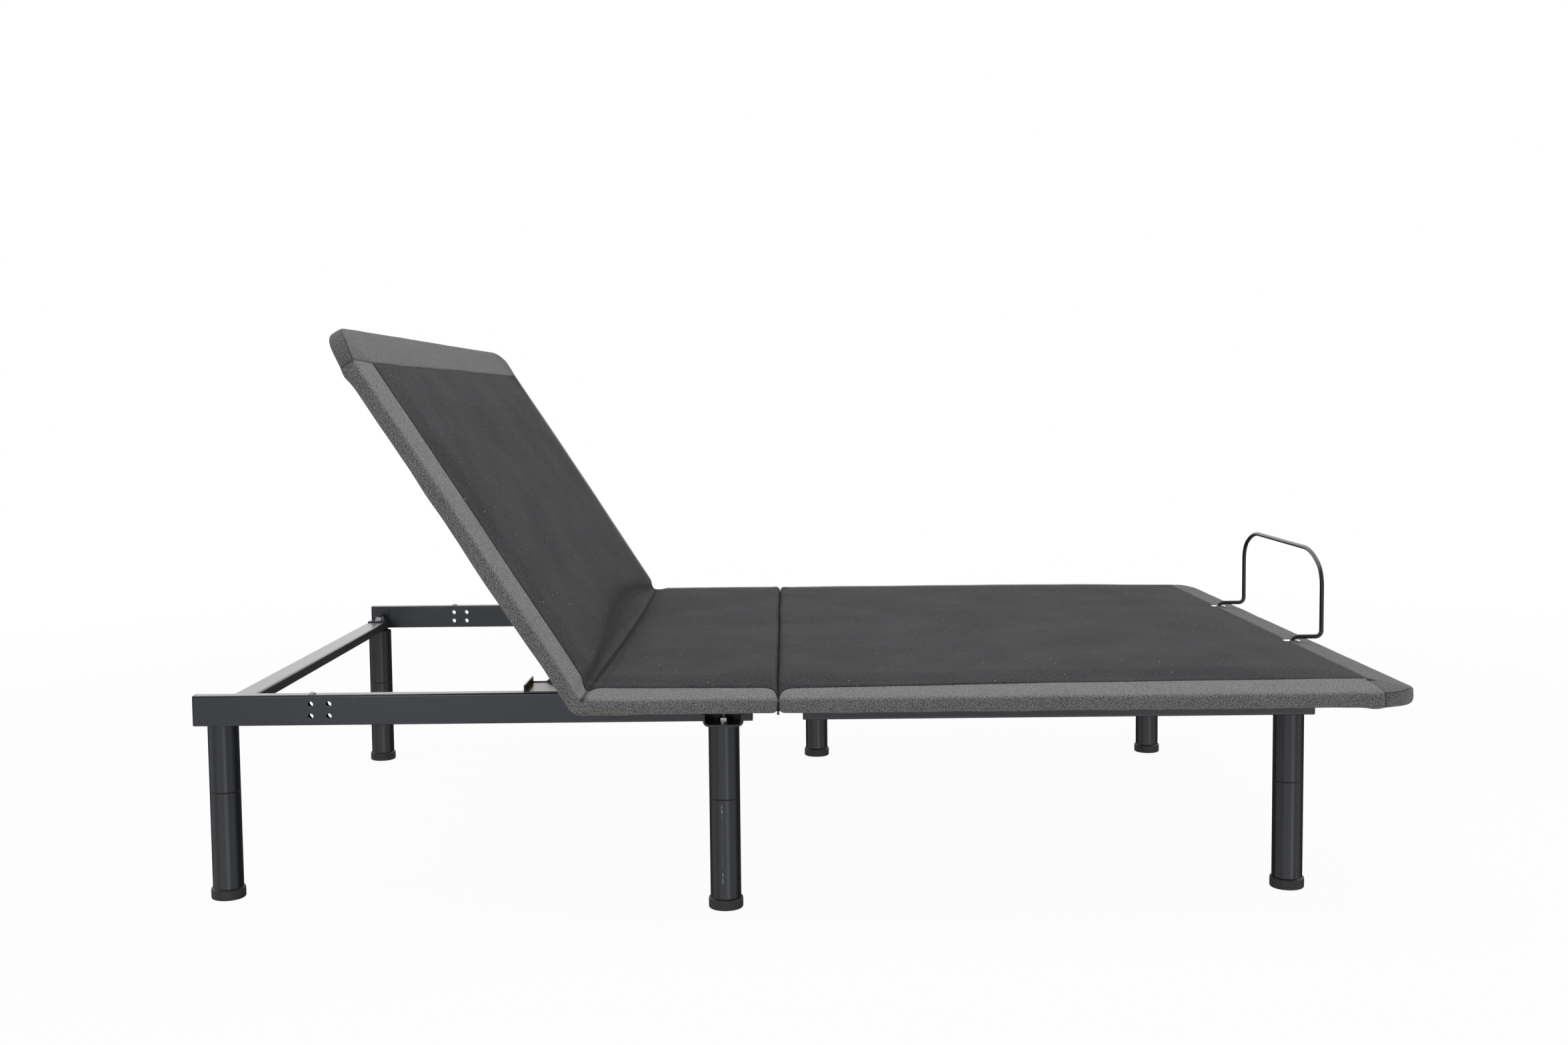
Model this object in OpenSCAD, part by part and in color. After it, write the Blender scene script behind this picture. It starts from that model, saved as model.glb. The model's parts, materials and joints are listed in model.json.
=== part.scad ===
/* [Deck] */
// Width across the deck
deck_w = 1524; // [900:1:2000]
// Length of the fixed foot half
foot_len = 1011.6; // [800:0.1:1200]
// Length of the fixed seat between the fold and the middle gap
seat_len = 307; // [240:1:400]
// Length of the lifting head panel from the fold to its free end
head_len = 700; // [600:1:800]
// Open gap between the two halves
half_gap = 4; // [2:0.5:20]
// Rise of the head panel from flat
head_angle = 57.4; // [0:0.1:60]
// Height of the upright side face of the deck
side_h = 24; // [16:0.5:40]
// Width of the border band along the sides
band_w = 67; // [40:1:100]
// Width of the border band across the ends
end_band_w = 75; // [50:1:110]
// Rise of the border band from its outer edge to the seam
band_rise = 10; // [4:0.5:16]
// Rise of the padded centre above the seam
crown_rise = 6.5; // [2:0.5:16]
// Run over which the padded centre rises
crown_run = 90; // [30:1:200]
// Radius of the outer corners in plan
corner_r = 90; // [40:1:150]
// Radius of the corners beside the middle gap in plan
gap_corner_r = 14; // [4:1:30]
// Radius of the seam's inner corners
seam_r = 3; // [1:1:60]
// Thickness of the cover on the side face
cover_t = 3; // [1.5:0.5:6]
// Thickness of the cover on the band and under the edge
band_t = 2; // [1:0.5:4]

/* [Boards] */
// Thickness of the deck boards
board_t = 6; // [4:0.5:12]
// Width of the side battens
side_batten_w = 37; // [20:1:60]
// Width of the battens across the ends
end_batten_w = 28; // [16:1:30]
// Stand-back of the boards and battens from the fold axis
fold_back = 28; // [10:0.5:40]
// Stand-back of the border from the fold axis
border_back = 7.5; // [7:0.5:20]
// Stand-back of the padding from the fold axis
pad_back = 11; // [10.5:0.5:24]

/* [Frame] */
// Height of a rail tube
rail_h = 50.8; // [40:0.1:70]
// Width of a rail tube
rail_w = 25.4; // [20:0.1:40]
// Wall of the frame tubes
tube_wall = 2; // [1.2:0.1:3]
// Outer corner radius of the frame tubes
tube_r = 3.5; // [1:0.5:6]
// Distance over the outer faces of the head-half rails
head_rail_over = 1240; // [800:1:1400]
// Distance over the outer faces of the foot-half rails
foot_rail_over = 1230.8; // [790:0.1:1390]
// Length of a head-half rail with its caps
head_rail_len = 924.5; // [800:0.5:1100]
// Distance of the foot-half rails from the foot end of the deck
foot_rail_in = 127; // [100:0.1:200]
// Setback of the head-half rails from the middle of the gap
head_rail_set = 43; // [36:0.5:80]
// Setback of the foot-half rails from the middle of the gap
foot_rail_set = 40; // [36:0.5:80]
// Width of a cross tube
cross_w = 40; // [30:1:60]
// Height of a cross tube
cross_h = 20; // [15:1:40]
// Thickness of a rail cap's outer plate
cap_t = 3; // [2:0.5:5]
// Depth of a rail cap's plug
cap_plug = 12; // [6:1:25]
// Hole diameter of the four-hole pattern
pattern_hole_d = 9; // [6:0.5:12]
// Diameter of the access holes behind the pattern
pattern_access_d = 16; // [9:0.5:18]
// Hole spacing of the pattern along the rail
pattern_x = 30; // [20:1:60]
// Hole spacing of the pattern up the rail
pattern_z = 20; // [14:1:30]
// Centre of the pattern from the head end of the rail
pattern_from_end = 210; // [60:0.5:400]

/* [Channels and bumpers] */
// Width of a channel along the bed
channel_w = 57; // [40:1:80]
// Sheet thickness of the channels
channel_t = 2.5; // [1.5:0.5:4]
// Height of the channels that carry the deck
channel_h = 13.2; // [8:0.2:30]
// Reach of a rest channel inward from the rail's outer face
rest_reach = 93; // [60:1:140]
// Distance from the fold to the near edge of the rest channels
rest_from_fold = 54; // [30:1:120]
// Clearance between a rest and the lowered head board
rest_gap = 0.3; // [0.1:0.1:1]
// Distance from the last seat channel to the end of the seat
seat_channel_in = 32; // [30:1:80]
// Distance from the last foot channel to the end of the foot-half rail
foot_channel_in = 60; // [44:1:120]
// Width of a bumper
bumper_d = 13; // [8:0.5:20]
// Height of a bumper
bumper_h = 3.6; // [2:0.1:8]
// Distance of the bumpers from the head end of the rail
bumper_from_end = 195; // [100:0.5:400]
// Width of the stiffener under the head board
stiffener_w = 40; // [20:1:60]

/* [Fold hinges] */
// Width of a hinge along the fold
hinge_w = 90; // [60:1:120]
// Reach of a hinge leaf under a board
hinge_reach = 24; // [12:1:40]
// Distance of the inner hinges either side of the centre line
hinge_in_y = 170; // [100:1:300]
// Distance of the outer hinges inside the side battens
hinge_side_gap = 12; // [4:1:40]
// Radius of a hinge pin
hinge_pin_r = 2.5; // [1.5:0.1:3]

/* [Legs] */
// Height of a leg with its cap
leg_h = 305.5; // [200:0.5:400]
// Diameter of a leg
leg_d = 50.8; // [30:0.1:60]
// Height of the joint between the two tubes of a leg
leg_joint_z = 184; // [60:1:260]
// Height of a foot cap
foot_cap_h = 19; // [10:1:30]
// Diameter of a foot cap
foot_cap_d = 57; // [52:0.5:70]
// Wall of the leg tubes
leg_wall = 1.6; // [1:0.1:3]
// Distance of the end legs either side of the centre line
leg_y = 556; // [300:1:560]
// Distance of the head legs from the head end of the rails
head_leg_in = 28.5; // [26:0.5:60]
// Distance of the foot legs from the foot end of the rails
foot_leg_in = 26; // [26:0.5:60]
// Distance of the near middle leg from the middle of the gap
near_leg_x = 90; // [76:1:200]
// Distance of the near middle leg outside the rail
near_leg_out = 20; // [16:1:40]
// Distance of the far middle leg from the middle of the gap
far_leg_x = 83; // [73:1:200]
// Distance of the far middle leg inside the rail's inner face
far_leg_in = 38; // [27:1:60]
// Width of a middle leg bracket
bracket_w = 66; // [56:1:90]
// Sheet thickness of the leg brackets and corner plates
bracket_t = 3; // [2:0.5:5]
// Bend radius of a leg bracket
bracket_r = 9; // [4:0.5:14]
// Height of a middle leg bracket
bracket_h = 20; // [18:1:20]
// Depth of a middle leg bracket across the bed
bracket_d = 46; // [42:1:80]
// Diameter of a leg stud
stud_d = 10; // [8:1:12]
// Width of a leg nut across its flats
nut_af = 17; // [13:0.5:24]
// Height of a leg nut
nut_h = 8; // [5:0.5:12]

/* [Lift] */
// Radius of the torque tube
torque_r = 16; // [12:0.5:20]
// Distance of the torque tube from the fold towards the head
torque_x = 16; // [10:1:40]
// Distance of the torque tube below the fold axis
torque_drop = 24; // [22:1:60]
// Length of a lift arm between its centres
arm_len = 300; // [200:1:400]
// Thickness of a lift arm
arm_t = 6; // [4:0.5:10]
// Distance of the lift arms either side of the centre line
arm_y = 480; // [200:1:500]
// Radius of a roller
roller_r = 20; // [17:0.5:24]
// Width of a roller
roller_w = 24; // [12:1:28]
// Radius of a roller axle
axle_r = 6; // [4:0.5:8]
// Gap between a roller and the lowered head board
roller_gap = 0.3; // [0.1:0.1:1]
// Running clearance of the pins and shafts
run_gap = 0.05; // [0.02:0.01:0.1]
// Length of the lever between its centres
lever_len = 56; // [40:1:70]
// Radius of the rod of the actuator
rod_r = 9; // [6:0.5:11]
// Radius of the actuator's outer tube
outer_tube_r = 18; // [16:0.5:24]
// Bore radius of the actuator's outer tube
outer_bore_r = 14; // [12:0.5:15]
// Length of the rod behind its eye
rod_len = 115; // [100:1:130]
// Radius of the motor
motor_r = 28; // [20:0.5:34]
// Length of the motor
motor_len = 118; // [80:1:160]

/* [Mattress bar] */
// Radius of the bar
bar_r = 4; // [3:0.5:8]
// Distance between the bar's uprights
bar_w = 530; // [300:1:900]
// Top of the bar's centre line above the edge of the deck
bar_rise = 175.5; // [120:0.5:260]
// Distance of the bar's feet from the foot end
bar_foot_in = 61.5; // [40:0.5:90]
// Distance of the bar's uprights from the foot end
bar_up_in = 6.5; // [6:0.5:30]
// Height of the bar's level part above the edge of the deck
bar_level = 18.5; // [16:0.5:40]
// Bend radius at the bar's feet
bar_bend_r = 11; // [8:0.5:20]
// Tight bend radius at the bar's shoulders
shoulder_r = 47; // [20:1:60]
// Wide bend radius from the shoulders into the bar's top
top_bend_r = 173; // [60:1:200]
// Angle that the tight bend turns through
shoulder_turn = 60; // [30:1:80]
// Radius of a bar socket
socket_r = 7; // [6:0.5:12]
// Depth of a bar socket below the seam
socket_depth = 27; // [15:1:32]

/* [Hidden] */
$fn = 96;
eps = 1;
rail_top = leg_h + rail_h;
board_z = rail_top + channel_h;
board_top = board_z + board_t;
seam_z = board_top + band_t;
edge_z = seam_z - band_rise;
edge_low = edge_z - side_h;
crown_z = seam_z + crown_rise;
half_w = deck_w / 2;
// The stored span runs from the head end of the rails to the foot end of the deck
head_reach = head_rail_set + head_rail_len;
foot_reach = half_gap / 2 + foot_len;
mid_x = (head_reach - foot_reach) / 2;
head_rail_x = mid_x - head_reach;
head_rail_end = mid_x - head_rail_set;
seat_end = mid_x - half_gap / 2;
foot_start = mid_x + half_gap / 2;
foot_end = foot_start + foot_len;
foot_rail_x = mid_x + foot_rail_set;
foot_rail_end = foot_end - foot_rail_in;
fold_x = seat_end - seat_len;
head_end = fold_x - head_len;
leaf_t = 2.5;
knuckle_r = 4;
fold_z = board_z - leaf_t - 1;
head_rail_y = head_rail_over / 2;
foot_rail_y = foot_rail_over / 2;
head_in_y = head_rail_y - rail_w;
foot_in_y = foot_rail_y - rail_w;
head_leg_x = head_rail_x + head_leg_in;
foot_leg_x = foot_rail_end - foot_leg_in;
near_x = mid_x - near_leg_x;
near_y = -(head_rail_y + near_leg_out);
far_x = mid_x + far_leg_x;
far_y = foot_in_y - far_leg_in;
cross_top = leg_h + cross_h;
foot_cap_t = 4;
// Splices between the two halves' rails
splice_end = 26;
splice_step = 45;
splice_t = 5;
splice_h = 18;
splice_low = leg_h + max(cross_h, bracket_h) + 1;
splice_z = splice_low + splice_h / 2;
bolt_r = 4;
bolt_head_r = 7;
bolt_head_h = 5;
bolt_fit = 0.1;
LEGS = [
    [head_leg_x, -leg_y, cross_top + bracket_t],
    [head_leg_x, leg_y, cross_top + bracket_t],
    [near_x, near_y, leg_h + bracket_t],
    [far_x, far_y, leg_h + bracket_t],
    [foot_leg_x, -leg_y, cross_top + bracket_t],
    [foot_leg_x, leg_y, cross_top + bracket_t]
];
// Torque tube, lift arms and lever
lift_x = fold_x - torque_x;
lift_z = fold_z - torque_drop;
roller_low = fold_z - board_z + roller_r + roller_gap;
arm_tilt_flat = asin((torque_drop - roller_low) / arm_len);
full_rise = 60;
arm_tilt_full = asin((torque_drop * cos(full_rise) + torque_x * sin(full_rise) - roller_low) / arm_len);
lift_ratio = 1 + (arm_tilt_full - arm_tilt_flat) / full_rise;
arm_angle = arm_tilt_flat + lift_ratio * head_angle;
lever_sweep = lift_ratio * full_rise;
lever_angle = lever_sweep / 2 - lift_ratio * head_angle;
pin_x = lift_x + lever_len * sin(lever_angle);
pin_z = lift_z - lever_len * cos(lever_angle);
pin_r = 6;
eye_r = 12;
eye_w = 2 * rod_r;
lever_t = 5;
actuator_z = lift_z - lever_len * (1 + cos(lever_sweep / 2)) / 2;
actuator_front = lift_x + lever_len * sin(lever_sweep / 2) + eye_r + 7;
gearbox_x = actuator_front + rod_len - 10;
gearbox_len = 82;
gearbox_w = 64;
gearbox_h = 56;
motor_tube_x = head_rail_end - cross_w - 2;
rear_pin_x = motor_tube_x + cross_w / 2;
plate_t = 4;
plate_y = head_rail_y - rest_reach;
rest_x = fold_x - rest_from_fold - channel_w;
axle_y = arm_y + arm_t / 2;
stiffener_x = head_rail_x + bumper_from_end;
stiffener_h = channel_h - bumper_h - rest_gap;
leaf_len = fold_back + hinge_reach;
leaf_gap = 2;
fold_leaf = knuckle_r + 0.6;
hinge_out_y = half_w - cover_t - side_batten_w - hinge_side_gap - hinge_w / 2;
hinge_y = [-hinge_out_y, -hinge_in_y, hinge_in_y, hinge_out_y];
seat_channel_x = [fold_x + leaf_len + leaf_gap, seat_end - seat_channel_in - channel_w];
foot_channel_x = [foot_rail_x + 12, (foot_rail_x + foot_rail_end) / 2,
    foot_rail_end - foot_channel_in - channel_w];
// Mattress bar
bar_foot_x = foot_end - bar_foot_in;
bar_up_x = foot_end - bar_up_in;
bar_level_z = edge_z + bar_level;
bar_top_z = edge_z + bar_rise;
bar_bottom_z = seam_z - socket_depth + 0.3;
shoulder_z = bar_top_z - top_bend_r + (top_bend_r - shoulder_r) * sin(shoulder_turn);
socket_gap = 0.2;
socket_plate_t = 1.5;
socket_plate_len = 30;
socket_plate_w = 20;
bar_fit = 0.5;
wide_y = bar_w / 2 - shoulder_r - (top_bend_r - shoulder_r) * cos(shoulder_turn);
meet_y = wide_y + top_bend_r * cos(shoulder_turn);
meet_z = shoulder_z + shoulder_r * sin(shoulder_turn);

LEG_NAMES = ["head_near", "head_far", "middle_near", "middle_far", "foot_near", "foot_far"];

// Helpers

// A box between two corners
module span(a, b) {
    translate(a)
        cube(b - a);
}

// The same shape on both sides of the centre line
module both_sides() {
    children();
    mirror([0, 1, 0])
        children();
}

// A profile in x and z, extruded across the bed
module across(y0, y1) {
    translate([0, y1, 0])
        rotate([90, 0, 0])
            linear_extrude(y1 - y0)
                children();
}

// A profile in y and z, extruded along the bed
module along(x0, x1) {
    translate([x0, 0, 0])
        rotate([90, 0, 90])
            linear_extrude(x1 - x0)
                children();
}

// A round shaft across the bed
module shaft(x, z, y0, y1, r) {
    translate([x, y1, z])
        rotate([90, 0, 0])
            cylinder(h = y1 - y0, r = r);
}

// A rectangle with round corners, from its low corner
module rounded(w, h, r) {
    translate([r, 0])
        square([w - 2 * r, h]);
    translate([0, r])
        square([w, h - 2 * r]);
    for (x = [r, w - r])
        for (y = [r, h - r])
            translate([x, y])
                circle(r);
}

// The wall of a square-cornered steel tube, from its low corner
module tube_section(w, h) {
    difference() {
        rounded(w, h, tube_r);
        translate([tube_wall, tube_wall])
            rounded(w - 2 * tube_wall, h - 2 * tube_wall, tube_r - tube_wall);
    }
}

// Lifts what was drawn flat to the head panel's rise
module raised() {
    translate([fold_x, 0, fold_z])
        rotate([0, head_angle, 0])
            translate([-fold_x, 0, -fold_z])
                children();
}

// Turns what was drawn level about the torque tube, headwards
module on_lift(angle) {
    translate([lift_x, 0, lift_z])
        rotate([0, angle, 0])
            children();
}

// Rails

// A rail's tube between its caps, from its outer face inwards
module rail(x0, x1, outer) {
    along(x0 + cap_t, x1 - cap_t)
        translate([outer - rail_w, leg_h])
            tube_section(rail_w, rail_h);
}

// Head-half rail; access_y is where the wall with the access holes behind the pattern starts
module head_rail(access_y) {
    color("dimgray")
        difference() {
            rail(head_rail_x, head_rail_end, head_rail_y);
            for (x = [-pattern_x, pattern_x])
                for (z = [-pattern_z, pattern_z])
                    translate([head_rail_x + pattern_from_end + x / 2, 0, leg_h + (rail_h + z) / 2]) {
                        shaft(0, 0, head_in_y - eps, head_rail_y + eps, pattern_hole_d / 2);
                        shaft(0, 0, access_y - eps, access_y + tube_wall + eps, pattern_access_d / 2);
                    }
            splice_holes(head_rail_end - splice_end, -1, head_in_y);
        }
}

// Foot-half rail with its splice holes
module foot_rail() {
    color("dimgray")
        difference() {
            rail(foot_rail_x, foot_rail_end, foot_rail_y);
            splice_holes(foot_rail_x + splice_end, 1, foot_in_y);
        }
}

// Two holes through one wall of a rail
module splice_holes(x, dir, y) {
    for (i = [0, 1])
        shaft(x + dir * i * splice_step, splice_z, y - eps, y + tube_wall + eps, bolt_r + bolt_fit);
}

// A bar joggled from one rail's inner face to the other's
module splice_bar() {
    a = head_rail_end - splice_end - splice_step - 20;
    b = foot_rail_x + splice_end + splice_step + 20;
    difference() {
        translate([0, 0, splice_low])
            linear_extrude(splice_h)
                polygon([[a, head_in_y], [head_rail_end, head_in_y], [foot_rail_x, foot_in_y],
                    [b, foot_in_y], [b, foot_in_y - splice_t], [foot_rail_x, foot_in_y - splice_t],
                    [head_rail_end, head_in_y - splice_t], [a, head_in_y - splice_t]]);
        for (i = [0, 1]) {
            shaft(head_rail_end - splice_end - i * splice_step, splice_z,
                head_in_y - splice_t - eps, head_in_y + eps, bolt_r + bolt_fit);
            shaft(foot_rail_x + splice_end + i * splice_step, splice_z,
                foot_in_y - splice_t - eps, foot_in_y + eps, bolt_r + bolt_fit);
        }
    }
}

module splice_bars() {
    color("dimgray")
        both_sides()
            splice_bar();
}

// A bolt from inboard, its head against the bar
module splice_bolt(x, y) {
    shaft(x, splice_z, y - splice_t, y + tube_wall + 4, bolt_r);
    translate([x, y - splice_t, splice_z])
        rotate([90, 0, 0])
            cylinder(h = bolt_head_h, r = bolt_head_r, $fn = 6);
}

module splice_bolts() {
    color("silver")
        both_sides()
            for (i = [0, 1]) {
                splice_bolt(head_rail_end - splice_end - i * splice_step, head_in_y);
                splice_bolt(foot_rail_x + splice_end + i * splice_step, foot_in_y);
            }
}

// A plastic cap whose plug fills the tube's mouth; dir points out of the tube
module rail_cap(x, dir, outer) {
    plug_gap = 0.2;
    in = tube_wall + plug_gap;
    translate([x, 0, 0])
        mirror([dir > 0 ? 1 : 0, 0, 0]) {
            along(0, cap_t)
                translate([outer - rail_w, leg_h])
                    rounded(rail_w, rail_h, tube_r);
            along(cap_t, cap_t + cap_plug)
                translate([outer - rail_w + in, leg_h + in])
                    difference() {
                        rounded(rail_w - 2 * in, rail_h - 2 * in, tube_r - tube_wall);
                        translate([tube_wall, tube_wall])
                            square([rail_w - 2 * in - 2 * tube_wall, rail_h - 2 * in - 2 * tube_wall]);
                    }
        }
}

module rail_caps() {
    color("black")
        both_sides() {
            rail_cap(head_rail_x, -1, head_rail_y);
            rail_cap(head_rail_end, 1, head_rail_y);
            rail_cap(foot_rail_x, -1, foot_rail_y);
            rail_cap(foot_rail_end, 1, foot_rail_y);
        }
}

// Cross tubes

// A tube across the bed from rail to rail, drilled for the leg studs
module cross_tube(x0, half, stud_x) {
    color("dimgray")
        difference() {
            across(-half, half)
                translate([x0, leg_h])
                    tube_section(cross_w, cross_h);
            for (y = [-leg_y, leg_y])
                translate([stud_x, y, leg_h - eps])
                    cylinder(h = cross_h + 2 * eps, d = stud_d + 1);
        }
}

module head_cross_tube() {
    cross_tube(head_rail_x + cap_t, head_in_y, head_leg_x);
}

module foot_cross_tube() {
    cross_tube(foot_rail_end - cap_t - cross_w, foot_in_y, foot_leg_x);
}

module motor_cross_tube() {
    color("dimgray")
        across(-head_in_y, head_in_y)
            translate([motor_tube_x, leg_h])
                tube_section(cross_w, cross_h);
}

// A plate on top of a cross tube, folded up against the rail and drilled for the stud
module corner_plate(x0, stud_x, inner) {
    size = 56;
    edge = 2;
    x1 = x0 + cross_w - edge;
    difference() {
        union() {
            span([x0 + edge, inner - size, cross_top], [x1, inner, cross_top + bracket_t]);
            span([x0 + edge, inner - bracket_t, cross_top], [x1, inner, rail_top - 4]);
        }
        translate([stud_x, leg_y, cross_top - eps])
            cylinder(h = bracket_t + 2 * eps, d = stud_d + 1);
    }
}

module corner_plates() {
    color("dimgray")
        both_sides() {
            corner_plate(head_rail_x + cap_t, head_leg_x, head_in_y);
            corner_plate(foot_rail_end - cap_t - cross_w, foot_leg_x, foot_in_y);
        }
}

// A strap bent to a U, open at the top and outwards, centred on its leg
module leg_bracket(x, y0, y1, leg) {
    h = bracket_h;
    difference() {
        across(y0, y1)
            translate([x - bracket_w / 2, leg_h])
                difference() {
                    union() {
                        rounded(bracket_w, 2 * bracket_r + eps, bracket_r);
                        translate([0, bracket_r])
                            square([bracket_w, h - bracket_r]);
                    }
                    translate([bracket_t, bracket_t]) {
                        rounded(bracket_w - 2 * bracket_t, 2 * bracket_r, bracket_r - bracket_t);
                        translate([0, bracket_r])
                            square([bracket_w - 2 * bracket_t, h]);
                    }
                }
        translate([x, leg, leg_h - eps])
            cylinder(h = bracket_t + 2 * eps, d = stud_d + 1);
    }
}

module leg_brackets() {
    color("dimgray") {
        leg_bracket(near_x, -head_rail_y - bracket_d, -head_rail_y, near_y);
        leg_bracket(far_x, far_y - leg_d / 2, foot_in_y, far_y);
    }
}

// Channels and bumpers

// A shallow channel, open at the top, lying across the bed
module channel(x, y0, y1, h) {
    across(y0, y1)
        translate([x, rail_top])
            difference() {
                square([channel_w, h]);
                translate([channel_t, channel_t])
                    square([channel_w - 2 * channel_t, h]);
            }
}

module rest_channels() {
    color("dimgray")
        both_sides()
            channel(rest_x, plate_y, head_rail_y, channel_h - rest_gap);
}

module deck_channels() {
    color("dimgray") {
        for (x = seat_channel_x)
            channel(x, -head_rail_y, head_rail_y, channel_h);
        for (x = foot_channel_x)
            channel(x, -foot_rail_y, foot_rail_y, channel_h);
    }
}

// A clear domed bumper
module rail_bumpers() {
    base = 1;
    dome = bumper_h - base;
    sphere_r = (bumper_d * bumper_d / 4 + dome * dome) / (2 * dome);
    color("whitesmoke")
        both_sides()
            translate([head_rail_x + bumper_from_end, head_rail_y - rail_w / 2, rail_top])
                rotate_extrude()
                    intersection() {
                        union() {
                            square([bumper_d / 2, base]);
                            translate([0, bumper_h - sphere_r])
                                circle(sphere_r);
                        }
                        square([bumper_d / 2, bumper_h]);
                    }
}

// Legs

// A leg's upper tube, closed at the top round its stud
module leg_tube(i) {
    p = LEGS[i];
    top_t = 4;
    color("dimgray")
        translate([p[0], p[1], 0])
            rotate_extrude()
                polygon([
                    [leg_d / 2 - leg_wall, leg_joint_z], [leg_d / 2, leg_joint_z],
                    [leg_d / 2, leg_h], [stud_d / 2, leg_h],
                    [stud_d / 2, p[2] + nut_h + 6], [0, p[2] + nut_h + 6],
                    [0, leg_h - top_t], [leg_d / 2 - leg_wall, leg_h - top_t]
                ]);
}

// A leg's lower tube with the threaded spigot that joins it to the upper
module leg_end(i) {
    p = LEGS[i];
    spigot_h = 24;
    spigot_gap = 0.3;
    spigot_r = leg_d / 2 - leg_wall - spigot_gap;
    color("dimgray")
        translate([p[0], p[1], 0])
            rotate_extrude()
                polygon([
                    [leg_d / 2 - leg_wall, foot_cap_t], [leg_d / 2, foot_cap_t],
                    [leg_d / 2, leg_joint_z], [spigot_r, leg_joint_z],
                    [spigot_r, leg_joint_z + spigot_h], [0, leg_joint_z + spigot_h],
                    [0, leg_joint_z - 6], [leg_d / 2 - leg_wall, leg_joint_z - 6]
                ]);
}

// A soft cup round the foot of a leg
module foot_caps() {
    cup_gap = 0.1;
    round_r = 3;
    color("black")
        for (p = LEGS)
            translate([p[0], p[1], 0])
                rotate_extrude()
                    difference() {
                        union() {
                            square([foot_cap_d / 2 - round_r, foot_cap_h]);
                            translate([0, round_r])
                                square([foot_cap_d / 2, foot_cap_h - 2 * round_r]);
                            for (z = [round_r, foot_cap_h - round_r])
                                translate([foot_cap_d / 2 - round_r, z])
                                    circle(round_r);
                        }
                        translate([0, foot_cap_t])
                            square([leg_d / 2 + cup_gap, foot_cap_h]);
                    }
}

// A washer and a hexagon nut on each stud
module leg_nuts() {
    washer_t = 1.6;
    thread_gap = 0.1;
    color("silver")
        for (p = LEGS)
            translate([p[0], p[1], p[2]])
                difference() {
                    union() {
                        cylinder(h = washer_t, r = nut_af * 0.62);
                        cylinder(h = nut_h, r = nut_af / 2 / cos(30), $fn = 6);
                    }
                    translate([0, 0, -eps])
                        cylinder(h = nut_h + 2 * eps, r = stud_d / 2 + thread_gap);
                }
}

// Deck

// A plan outline with one radius at each end
module plan(x0, x1, half, r0, r1) {
    translate([x0 + r0, -half])
        square([x1 - x0 - r0 - r1, 2 * half]);
    translate([x0, r0 - half])
        square([r0 + eps, 2 * (half - r0)]);
    translate([x1 - r1 - eps, r1 - half])
        square([r1 + eps, 2 * (half - r1)]);
    for (y = [-1, 1]) {
        translate([x0 + r0, y * (half - r0)])
            circle(r0);
        translate([x1 - r1, y * (half - r1)])
            circle(r1);
    }
}

// Cross-section of the upholstered deck; side is how far it lies inside the cover
module deck_section(side, top, low) {
    w = half_w - side;
    seam = half_w - band_w;
    crown = seam - crown_run;
    c = crown_z - top;
    s = seam_z - top;
    e = edge_z - top + side * band_rise / band_w;
    polygon([[-w, low], [w, low], [w, e], [seam, s], [crown, c], [-crown, c], [-seam, s], [-w, e]]);
}

// Long-section from an open end at x0 to a banded end at x1; a banded end may lie on either side
module deck_long(x0, x1, side, top, low) {
    dir = x1 > x0 ? 1 : -1;
    end = x1 - dir * side;
    seam = x1 - dir * end_band_w;
    crown = seam - dir * crown_run;
    c = crown_z - top;
    s = seam_z - top;
    e = edge_z - top + side * band_rise / end_band_w;
    polygon([[x0, low], [end, low], [end, e], [seam, s], [crown, c], [x0, c]]);
}

// The upholstered outline, or the board and battens inside it
module deck_form(x0, x1, side, top, low, banded) {
    a = min(x0, x1);
    b = max(x0, x1);
    r_in = max(gap_corner_r - side, 1);
    r_out = corner_r - side;
    lo_r = banded ? (x1 < x0 ? r_out : r_in) : 1;
    hi_r = banded ? (x1 < x0 ? 1 : r_out) : r_in;
    end_a = banded && x1 < x0 ? a + side : a;
    end_b = banded && x1 > x0 ? b - side : b;
    intersection() {
        along(a, b)
            deck_section(side, top, low);
        if (banded)
            across(-half_w, half_w)
                deck_long(x0, x1, side, top, low);
        translate([0, 0, low])
            linear_extrude(crown_z)
                plan(end_a, end_b, half_w - side, lo_r, hi_r);
    }
}

// The padded centre: inside the seam, above the board
module pad_form(x0, x1, banded) {
    dir = x1 > x0 ? 1 : -1;
    end = banded ? x1 - dir * end_band_w : x1;
    a = min(x0, end);
    b = max(x0, end);
    lo_r = banded && dir < 0 ? seam_r : 1;
    hi_r = banded && dir > 0 ? seam_r : 1;
    translate([0, 0, board_top])
        linear_extrude(crown_z)
            plan(a, b, half_w - band_w, lo_r, hi_r);
}

// Board between the cover's top and its own underside
module board_form(x0, x1, banded) {
    color("burlywood")
        intersection() {
            deck_form(x0, x1, cover_t, band_t, edge_low, banded);
            span([min(x0, x1) - eps, -deck_w, board_z], [max(x0, x1) + eps, deck_w, board_top]);
        }
}

// Battens hanging under the board along the sides
module side_battens(x0, x1, banded) {
    a = min(x0, x1);
    b = max(x0, x1);
    both_sides()
        intersection() {
            deck_form(x0, x1, cover_t, band_t, edge_low + band_t, banded);
            span([a - eps, half_w - cover_t - side_batten_w, edge_low], [b + eps, deck_w, board_z]);
        }
}

// Battens hanging under the board across one end, between the side battens
module end_batten(x0, x1, banded, at0, at1) {
    joint_gap = 0.2;
    half = half_w - cover_t - side_batten_w - joint_gap;
    intersection() {
        deck_form(x0, x1, cover_t, band_t, edge_low + band_t, banded);
        span([at0, -half, edge_low], [at1, half, board_z]);
    }
}

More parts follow.
